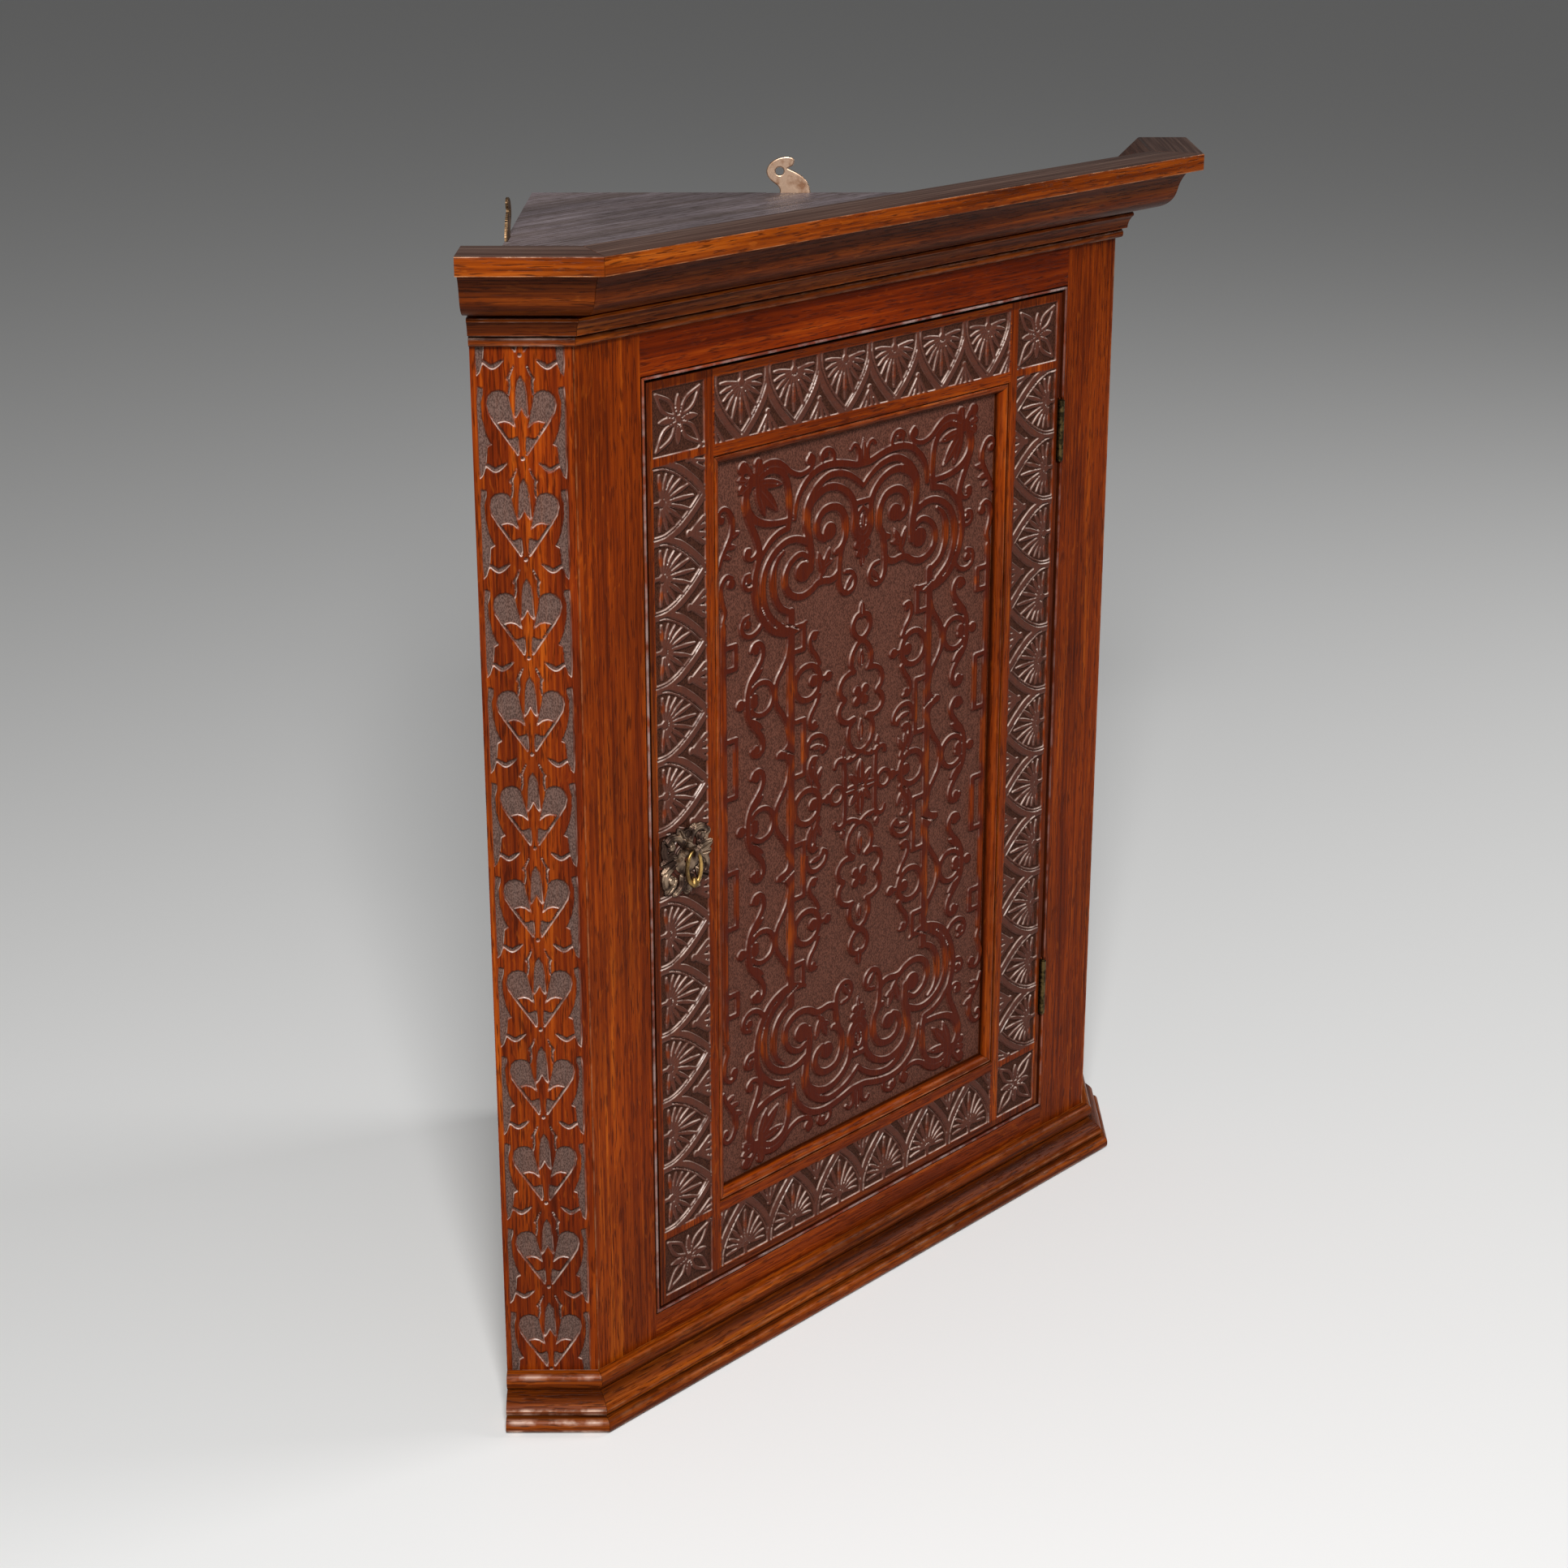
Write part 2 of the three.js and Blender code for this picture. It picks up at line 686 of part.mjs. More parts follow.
function handleStud() {
  const face = -handlePlateThickness;
  const pieces = [
    rodAlongY(handleX, face - studFlangeThickness, face, eyeZ, studFlangeRadius),
    rodAlongY(handleX, eyeY + eyeBoreRadius + seat, studScrewLength, eyeZ, studNeckRadius, smallSides),
    rodAlongX(handleX - eyeWidth / 2, handleX + eyeWidth / 2, eyeY, eyeZ, eyeRadius),
  ];
  const bore = rodAlongX(handleX - overrun, handleX + overrun, eyeY, eyeZ, eyeBoreRadius);
  return cutAway(joined(pieces), [bore]);
}

// The drop is a long ring through the stud's eye, with a bulb at its foot
function drop() {
  const ring = new THREE.TorusGeometry(dropHalfWidth, dropTubeRadius, tubeSides, ringSides);
  const position = ring.attributes.position;
  for (let i = 0; i < position.count; i += 1) {
    const angle = Math.atan2(position.getY(i), position.getX(i));
    position.setY(i, position.getY(i) + (dropHalfLength - dropHalfWidth) * Math.sin(angle));
  }
  const centre = eyeZ - dropHalfLength;
  ring.rotateX(Math.PI / 2).translate(handleX, eyeY, centre);
  const bulb = new THREE.SphereGeometry(dropBulbRadius, roundSides, tubeSides);
  return joined([ring, bulb.translate(handleX, eyeY, centre - dropHalfLength)]);
}

// Lock: a case on the back of the stile, with a bolt that slides out behind the face frame

function boltBox(clear, start, end) {
  return box(start, end, boltFront - clear, boltFront + boltThickness + clear,
    doorMiddle - boltHeight / 2 - clear, doorMiddle + boltHeight / 2 + clear);
}

function lockCase() {
  const body = box(doorLeft, doorLeft + lockLength, doorBack, lockBack,
    doorMiddle - lockHeight / 2, doorMiddle + lockHeight / 2);
  const slot = boltBox(seat, doorLeft - overrun, doorLeft + boltLength + 2 * seat);
  return cutAway(body, [slot, ...keyholeCuts()]);
}

// The whole cupboard, from the case inwards

addPart("top_board", topBoard(), plainOak);
addPart("bottom_board", floorBoard(openBottom - floorThickness, openBottom, seat), plainOak);
shelfNames.forEach((name, i) => {
  const board = floorBoard(shelfBottoms[i], shelfBottoms[i] + shelfThickness, shelfSetback);
  addPart(`shelf_${name}`, board, plainOak);
});

for (const [name, side] of sides) {
  addPart(`cant_panel_${name}`, cantPanel(side), carvedOak);
  addPart(`face_stile_${name}`, faceStile(side), oak);
  addPart(`back_board_${name}_front`, backBoard(side, 0), plainOak);
  addPart(`back_board_${name}_rear`, backBoard(side, 1), plainOak);
  addPart(`hanging_plate_${name}`, hangingPlate(side), brass);
  hangerScrewHeights().forEach((height, i) => {
    addPart(`hanging_plate_screw_${name}_${i + 1}`, hangerScrew(side, height), steel);
  });
  addPart(`bottom_bearer_${name}`, bearer(side, openBottom - floorThickness), plainOak);
  shelfNames.forEach((shelf, i) => {
    addPart(`shelf_bearer_${shelf}_${name}`, bearer(side, shelfBottoms[i]), plainOak);
  });
}

addPart("face_rail_top", railWithTenons(openHalf, openTop, caseTop, 0, boardThickness), oak);
addPart("face_rail_bottom", railWithTenons(openHalf, 0, openBottom, 0, boardThickness), oak);
addBeads();
addMoulding("crown", traced(crownShares, crownProjection, galleryHeight), boardTop);
addMoulding("bed_mould", traced(bedShares, bedProjection, bedHeight), caseTop - bedLap);
addMoulding("base_mould", traced(baseShares, baseProjection, baseHeight), 0);

addDoorFrame();
addPart("door_panel", doorPanel(), carvedOak);
addPart("door_stop_lower", doorStop(doorBottom, doorMiddle - stopClearance), plainOak);
addPart("door_stop_upper", doorStop(doorMiddle + stopClearance, doorTop), plainOak);

for (const [name, z] of hingeEntries) {
  addPart(`hinge_${name}_frame_leaf`, hingeLeaf(1, z), brass);
  addPart(`hinge_${name}_door_leaf`, hingeLeaf(-1, z), brass);
  addPart(`hinge_${name}_pin`, hingePin(z), brass);
}

addPart("handle_plate", handlePlate(), darkBrass);
addPart("handle_stud", handleStud(), darkBrass);
addPart("handle_drop", drop(), darkBrass);
handlePinPlaces().forEach((z, i) => {
  addPart(`handle_plate_pin_${i + 1}`, throughPlate(screwShape(), z), darkBrass);
});
addPart("lock_case", lockCase(), steel);
addPart("lock_bolt", boltBox(0, doorLeft + seat, doorLeft + seat + boltLength), brass);

export default cupboard;
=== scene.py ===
# %% [markdown]
# # A hanging corner cupboard in carved oak
# This lesson dresses a cupboard whose solid parts already exist. The cupboard is an old country
# piece: a plain front frame, two canted sides, and a framed door whose every flat is carved. The
# solids come in as the fixed frame. Every piece that this script makes is drawn in the same place,
# in metres, so nothing has to be fitted by eye.

import functools
import math

import bpy
import numpy as np
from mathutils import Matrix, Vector

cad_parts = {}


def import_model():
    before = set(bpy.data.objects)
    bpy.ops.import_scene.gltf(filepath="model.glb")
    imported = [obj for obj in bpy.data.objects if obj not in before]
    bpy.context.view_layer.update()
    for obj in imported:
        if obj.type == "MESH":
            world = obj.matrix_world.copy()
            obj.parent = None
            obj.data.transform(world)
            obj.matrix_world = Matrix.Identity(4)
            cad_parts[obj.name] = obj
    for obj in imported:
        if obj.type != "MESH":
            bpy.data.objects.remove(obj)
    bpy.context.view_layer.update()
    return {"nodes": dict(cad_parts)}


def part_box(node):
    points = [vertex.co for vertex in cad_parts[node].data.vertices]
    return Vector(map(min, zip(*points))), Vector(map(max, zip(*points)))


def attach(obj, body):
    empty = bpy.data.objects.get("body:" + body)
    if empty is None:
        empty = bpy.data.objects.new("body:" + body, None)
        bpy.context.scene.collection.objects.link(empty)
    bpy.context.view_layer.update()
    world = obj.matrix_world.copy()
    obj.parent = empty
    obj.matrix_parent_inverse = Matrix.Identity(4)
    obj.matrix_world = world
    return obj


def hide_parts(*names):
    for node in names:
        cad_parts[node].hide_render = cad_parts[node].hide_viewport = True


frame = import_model()

# %% [markdown]
# ## Sizes
# A dressed piece has to sit where its solid sits, so its sizes are read from the solid's box. A few
# sizes that a box can't tell, such as how wide the door's small moulding is, are named here. Lengths
# are in millimetres, which suits a joiner, and turn into metres when a mesh is made.

# %% Sizes
MM = 0.001
FACE_WIDTH, CANT_WIDTH, BOARD = 584.0, 69.0, 20.0
# the gap left where two pieces meet
SEAM = 0.3
# the small moulding round the panel, and the panel's tongue in its groove
MOULD_WIDTH, MOULD_DEPTH, TONGUE = 8.5, 9.0, 6.4
LIP_BACK = MOULD_DEPTH + TONGUE + 2 * SEAM


def mm_box(solid):
    """The lowest and highest corners of a solid, in millimetres."""
    return [np.array(corner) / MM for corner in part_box(solid)]


face_y = mm_box("face_stile_left")[0][1]
case_top = mm_box("cant_panel_left")[1][2]
door_low, door_high = mm_box("door_stile_left")
door_right = mm_box("door_stile_right")[1][0]
sight = -door_high[0]
flat_half = sight + MOULD_WIDTH
flat_bottom = mm_box("door_rail_bottom")[1][2] - MOULD_WIDTH
flat_top = mm_box("door_rail_top")[0][2] + MOULD_WIDTH
door_middle = (door_low[2] + door_high[2]) / 2
half = FACE_WIDTH / 2
# the cants turn 45 degrees from the front, so a mitre between them is cut at half of that
ROOT = math.sqrt(0.5)
MITRE = math.tan(math.pi / 8)
mitre_gap = SEAM / 2 / math.cos(math.pi / 8)
print("door from", door_low, "to", door_high, "with a sight width of", 2 * sight)

# %% [markdown]
# ## Making meshes
# Blender can take a whole mesh at once from arrays, which is far quicker than adding faces one by
# one. The faces here may have any number of corners, so each is a run in one long list of corner
# numbers. Smooth shading with sharp edges past an angle keeps a moulding's hollows soft and its
# quirks crisp.

# %% Mesh and piece helpers
PIECES = []


def build(name, points, faces, sharp=35):
    """A mesh object from points in millimetres and faces of any size."""
    mesh = bpy.data.meshes.new(name)
    corners = np.concatenate([np.asarray(face, np.int32) for face in faces])
    sizes = np.array([len(face) for face in faces], np.int32)
    points = np.asarray(points, float) * MM
    mesh.vertices.add(len(points))
    mesh.vertices.foreach_set("co", points.ravel())
    mesh.loops.add(len(corners))
    mesh.loops.foreach_set("vertex_index", corners)
    mesh.polygons.add(len(sizes))
    starts = np.concatenate([[0], np.cumsum(sizes)[:-1]]).astype(np.int32)
    mesh.polygons.foreach_set("loop_start", starts)
    mesh.update(calc_edges=True)
    mesh.shade_smooth()
    mesh.set_sharp_from_angle(angle=math.radians(sharp))
    made = bpy.data.objects.new(name, mesh)
    bpy.context.scene.collection.objects.link(made)
    return made


def joined(name, parts):
    """Several mesh objects as one."""
    with bpy.context.temp_override(active_object=parts[0], selected_editable_objects=parts):
        bpy.ops.object.join()
    parts[0].name = name
    return parts[0]


def piece(made, body, slot, *solids):
    """Hands a finished piece to the frame: what it moves with, and what it stands for, whose solids are
    hidden. slot, which would name its finish, is not used.
    """
    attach(made, body)
    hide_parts(*solids)
    PIECES.append(made.name)
    return made


print("pieces made so far:", len(PIECES))

# %% [markdown]
# ## How the carving is drawn
# A country carver works from the front: the pattern is scratched on the board, and the ground is cut
# away round it with a gouge, so the tops of the pattern are what is left of the board's own face.
# The script works in the same order. A Sheet is a fine grid over the board that holds, at each
# point, the distance to the nearest edge of the wood left standing. Bands, leaves and discs are
# added to it, and veins and notches are cut back out of it. Lines come first: a few given points
# turn into a smooth curve that passes through all of them.

# %% Lines
def smooth(points, steps=5):
    """A smooth line through given points."""
    p = np.array(points, float)
    if len(p) < 3:
        return p
    p = np.vstack([2 * p[0] - p[1], p, 2 * p[-1] - p[-2]])
    t = np.linspace(0, 1, steps, endpoint=False)[:, None]
    rows = []
    for a, b, c, d in zip(p, p[1:], p[2:], p[3:]):
        bend = 2 * a - 5 * b + 4 * c - d
        rows.append((2 * b + (c - a) * t + bend * t**2 + (3 * b - a - 3 * c + d) * t**3) / 2)
    return np.vstack([*rows, p[-2:-1]])


def arc(x, y, radius, start, end, steps=16):
    """Points along an arc, in degrees anticlockwise from the right."""
    turn = np.radians(np.linspace(start, end, steps))
    return np.column_stack([x + radius * np.cos(turn), y + radius * np.sin(turn)])


print("three points give a line of", len(smooth([(0, 0), (5, 3), (10, 0)])))

# %% [markdown]
# ### A sheet
# Bands, leaves, discs and filled outlines are all the same to a sheet: each gives the distance from
# its own edge, and the smallest one counts. Cutting keeps the largest instead. Each shape only looks
# at the part of the grid that it can reach, which keeps a pattern of hundreds of strokes quick.

# %% Drawing on a sheet
# a distance for what no shape reaches, and how far past its edge a shape is worked out
FAR, REACH = 50.0, 6.0


def off_segment(U, V, a, b):
    """How far along from a to b the nearest place lies for each point, and how far off that is."""
    run = b - a
    t = ((U - a[0]) * run[0] + (V - a[1]) * run[1]) / max(run @ run, 1e-12)
    t = np.clip(t, 0, 1)
    return t, np.hypot(U - a[0] - t * run[0], V - a[1] - t * run[1])


class Sheet:
    """Distances to the nearest edge of the standing wood, negative inside it."""

    def __init__(self, low, high, step, standing=False):
        self.u, self.v = (
            np.linspace(a, b, 1 + max(1, round((b - a) / step))) for a, b in zip(low, high))
        self.step = step
        self.dulled = []
        self.d = np.full((len(self.v), len(self.u)), -FAR if standing else FAR)

    def window(self, low, high, margin):
        """The part of the grid within margin of a box, and its points."""
        i0, i1 = np.searchsorted(self.u, (low[0] - margin, high[0] + margin))
        j0, j1 = np.searchsorted(self.v, (low[1] - margin, high[1] + margin))
        place = (slice(j0, j1), slice(i0, i1))
        return place, *np.meshgrid(self.u[place[1]], self.v[place[0]])

    def keep(self, place, distance, cut):
        """Adds a shape to the standing wood, or cuts it away."""
        if cut:
            self.d[place] = np.maximum(self.d[place], -distance)
        else:
            self.d[place] = np.minimum(self.d[place], distance)

    def band(self, points, widths, cut=False):
        """A band along points. Its width runs evenly through the list of widths."""
        p = np.asarray(points, float)
        run = np.concatenate([[0], np.cumsum(np.hypot(*np.diff(p, axis=0).T))])
        share = run / max(run[-1], 1e-9)
        radius = np.interp(share, np.linspace(0, 1, len(widths)), widths) / 2
        place, U, V = self.window(p.min(0), p.max(0), radius.max() + REACH)
        distance = np.full(U.shape, FAR)
        for a, b, ra, rb in zip(p, p[1:], radius, radius[1:]):
            t, away = off_segment(U, V, a, b)
            distance = np.minimum(distance, away - ra - (rb - ra) * t)
        self.keep(place, distance, cut)

    def disc(self, x, y, radius, cut=False):
        self.band([(x, y), (x, y + 0.01)], [2 * radius, 2 * radius], cut)

    def leaf(self, start, end, width, vein=0.0):
        """A leaf pointed at both ends, with a vein cut down its middle."""
        t = np.linspace(0, 1, 9)
        line = np.outer(1 - t, start) + np.outer(t, end)
        self.band(line, width * np.sin(np.pi * (0.08 + 0.88 * t)) ** 0.9)
        if vein:
            self.band(line[2:], [vein, vein], cut=True)

    def area(self, points, cut=False):
        """A closed outline, filled."""
        p = np.asarray(points, float)
        place, U, V = self.window(p.min(0), p.max(0), REACH)
        distance = np.full(U.shape, FAR)
        inside = np.zeros(U.shape, bool)
        for a, b in zip(p, np.roll(p, -1, 0)):
            distance = np.minimum(distance, off_segment(U, V, a, b)[1])
            if a[1] != b[1]:
                side = U < (b - a)[0] * (V - a[1]) / (b - a)[1] + a[0]
                inside ^= ((a[1] > V) != (b[1] > V)) & side
        self.keep(place, np.where(inside, -distance, distance), cut)

    def oblong(self, low, high, cut=False):
        self.area([low, (high[0], low[1]), high, (low[0], high[1])], cut)


trial = Sheet((0, 0), (20, 20), 1.0)
trial.disc(10, 10, 5)
print("the middle of a 5 mm disc lies", -round(trial.d.min(), 1), "mm inside its edge")

# %% [markdown]
# ## From a sheet to carved wood
# The grid becomes the board's front. A point near an edge of the pattern slides onto that edge, so
# a curve stays a curve and doesn't turn into steps. Wide flat places then need few faces: squares
# of up to eight cells a side are merged where nothing happens.

# %% Settling the grid and merging its flat cells
LARGEST_BLOCK = 8
# a point may move by just under half a cell, so that cells can't turn over
SNAP = 0.49


def settle(sheet, levels):
    """Slides the grid's points onto the lines where the distance equals each level."""
    U, V = np.meshgrid(sheet.u, sheet.v)
    dv, du = np.gradient(sheet.d, sheet.v, sheet.u)
    steep = np.maximum(du * du + dv * dv, 0.25)
    d = sheet.d.copy()
    moved = np.zeros(d.shape, bool)
    for level in levels:
        off = d - level
        near = (np.abs(off) < SNAP * sheet.step) & ~moved
        near[[0, -1]] = False
        near[:, [0, -1]] = False
        U[near] -= (off * du / steep)[near]
        V[near] -= (off * dv / steep)[near]
        d[near] = level
        moved |= near
    return U, V, d, moved


def ring_of(grid):
    """The border of a grid of point numbers, anticlockwise."""
    return np.concatenate([grid[0, :-1], grid[:-1, -1], grid[-1, :0:-1], grid[:0:-1, 0]])


def merged_blocks(kind):
    """Squares of flat cells, largest first, and which cells they cover."""
    calm = kind.copy()
    for axis in (0, 1):
        for step in (1, -1):
            calm[np.roll(kind, step, axis) != kind] = 0
    calm[[0, -1]] = 0
    calm[:, [0, -1]] = 0
    covered = np.zeros(kind.shape, bool)
    blocks = []
    size = LARGEST_BLOCK
    while size > 1:
        rows, columns = (n // size for n in kind.shape)
        tiles = np.where(covered, 0, calm)[: rows * size, : columns * size]
        tiles = tiles.reshape(rows, size, columns, size)
        whole = (tiles.min((1, 3)) == tiles.max((1, 3))) & (tiles.min((1, 3)) > 0)
        for row, column in np.argwhere(whole) * size:
            blocks.append((row, column, size))
            covered[row:row + size, column:column + size] = True
        size //= 2
    return blocks, covered


print("points settled on the trial disc's edge:", int(settle(trial, (0,))[3].sum()))

# %% [markdown]
# ### The slab
# Skirts down the four sides and one back face close the slab. Four numbers stay on each point for
# the finish to use: how high it stands, how far it is from the edge of a cut, whether the cuts near
# it run with the grain, and whether it lies in a part that is carved all over and has gone dull.

# %% Carving a slab
# how far round a point its cuts are compared with the grain, how near a cut has to be to count, and
# how far from an edge the finish can tell
GRAIN_REACH, CUT_REACH, EDGE_REACH = 7.0, 5, 4.0


def spread(values, cells):
    """Each value averaged with its neighbours up to cells away."""
    for axis in (0, 1):
        values = sum(np.roll(values, k, axis) for k in range(-cells, cells + 1)) / (2 * cells + 1)
    return values


def run_with_grain(sheet):
    """Near 1 where the cuts run up and down the sheet for some way, near 0 where they cross it."""
    dv, du = np.gradient(sheet.d, sheet.v, sheet.u)
    close = np.abs(sheet.d) < CUT_REACH
    cells = max(1, round(GRAIN_REACH / sheet.step))
    upright, level = spread(du * du * close, cells), spread(dv * dv * close, cells)
    return upright / (upright + level + 1e-3)


def relief(name, sheet, depth, wall, thickness, place):
    """A closed slab with its front carved. place turns sheet points and heights into space."""
    U, V, d, moved = settle(sheet, (0, wall))
    height = -depth * np.clip(d / wall, 0, 1)
    kind = np.where(moved, 0, np.where(d < 0, 1, np.where(d > wall, 2, 0)))
    corners = np.stack([kind[:-1, :-1], kind[:-1, 1:], kind[1:, 1:], kind[1:, :-1]])
    blocks, covered = merged_blocks(np.where(corners.min(0) == corners.max(0), corners[0], 0))
    grid = np.arange(d.size).reshape(d.shape)
    cells = np.stack([grid[:-1, :-1], grid[:-1, 1:], grid[1:, 1:], grid[1:, :-1]], -1)[~covered]
    used = np.zeros(d.size, bool)
    used[cells.ravel()] = True
    for row, column, size in blocks:
        used[grid[row:row + size + 1:size, column:column + size + 1:size].ravel()] = True
    faces = list(cells)
    for row, column, size in blocks:
        ring = ring_of(grid[row:row + size + 1, column:column + size + 1])
        faces.append(ring[used[ring]])
    border = ring_of(grid)
    border = border[used[border]]
    back = d.size + np.arange(len(border))
    faces += list(np.stack([np.roll(border, -1), border, back, np.roll(back, -1)], -1))
    faces.append(back[::-1])
    u = np.concatenate([U.ravel(), U.ravel()[border]])
    v = np.concatenate([V.ravel(), V.ravel()[border]])
    h = np.concatenate([height.ravel(), np.full(len(border), -thickness)])
    points = place(u, v, h)
    number = np.cumsum(np.concatenate([used, np.ones(len(border), bool)])) - 1
    kept = np.concatenate([used, np.ones(len(border), bool)])
    rising = place(u[:1], v[:1], h[:1] + 1)[0] - points[0]
    across, up = points[grid[0, 1]] - points[0], points[grid[1, 0]] - points[0]
    order = 1 if np.cross(across, up) @ rising > 0 else -1
    made = build(name, points[kept], [number[face][::order] for face in faces], sharp=75)
    rise = np.where(h < -depth - 1e-6, 1.0, 1 + h / depth)
    edge = np.clip(d.ravel(), -EDGE_REACH, EDGE_REACH)
    edge = np.concatenate([edge, np.full(len(border), -EDGE_REACH)])
    grain = run_with_grain(sheet).ravel()
    grain = np.concatenate([grain, grain[border]])
    dull = np.zeros(len(u))
    for low, high in sheet.dulled:
        dull[(u > low[0]) & (u < high[0]) & (v > low[1]) & (v < high[1]) & (h > -thickness)] = 1
    for label, values in (("rise", rise), ("edge", edge), ("grain", grain), ("dull", dull)):
        made.data.attributes.new(label, "FLOAT", "POINT").data.foreach_set("value", values[kept])
    print(name, "has", len(made.data.polygons), "faces,", len(blocks), "merged blocks")
    return made


def uncarved(*parts):
    """Gives plain parts the numbers that a relief has, all saying standing wood."""
    for made in parts:
        for label, value in (("rise", 1.0), ("edge", -EDGE_REACH), ("grain", 1.0), ("dull", 0.0)):
            store = made.data.attributes.new(label, "FLOAT", "POINT")
            store.data.foreach_set("value", np.full(len(made.data.vertices), value))


print("the finish reads cuts up to", EDGE_REACH, "mm away")

# %% [markdown]
# ## The door's panel
# The panel is the show piece: strapwork scrolls above and below, two tall bars, rows of rings and
# curls, and a chain of small flowers down the middle. It was carved from one quarter pattern turned
# over the two middle lines, so only the upper left quarter is drawn here. Each band is a few points
# along its middle with its width, as a carver would mark it out. Places are measured from the
# panel's middle.

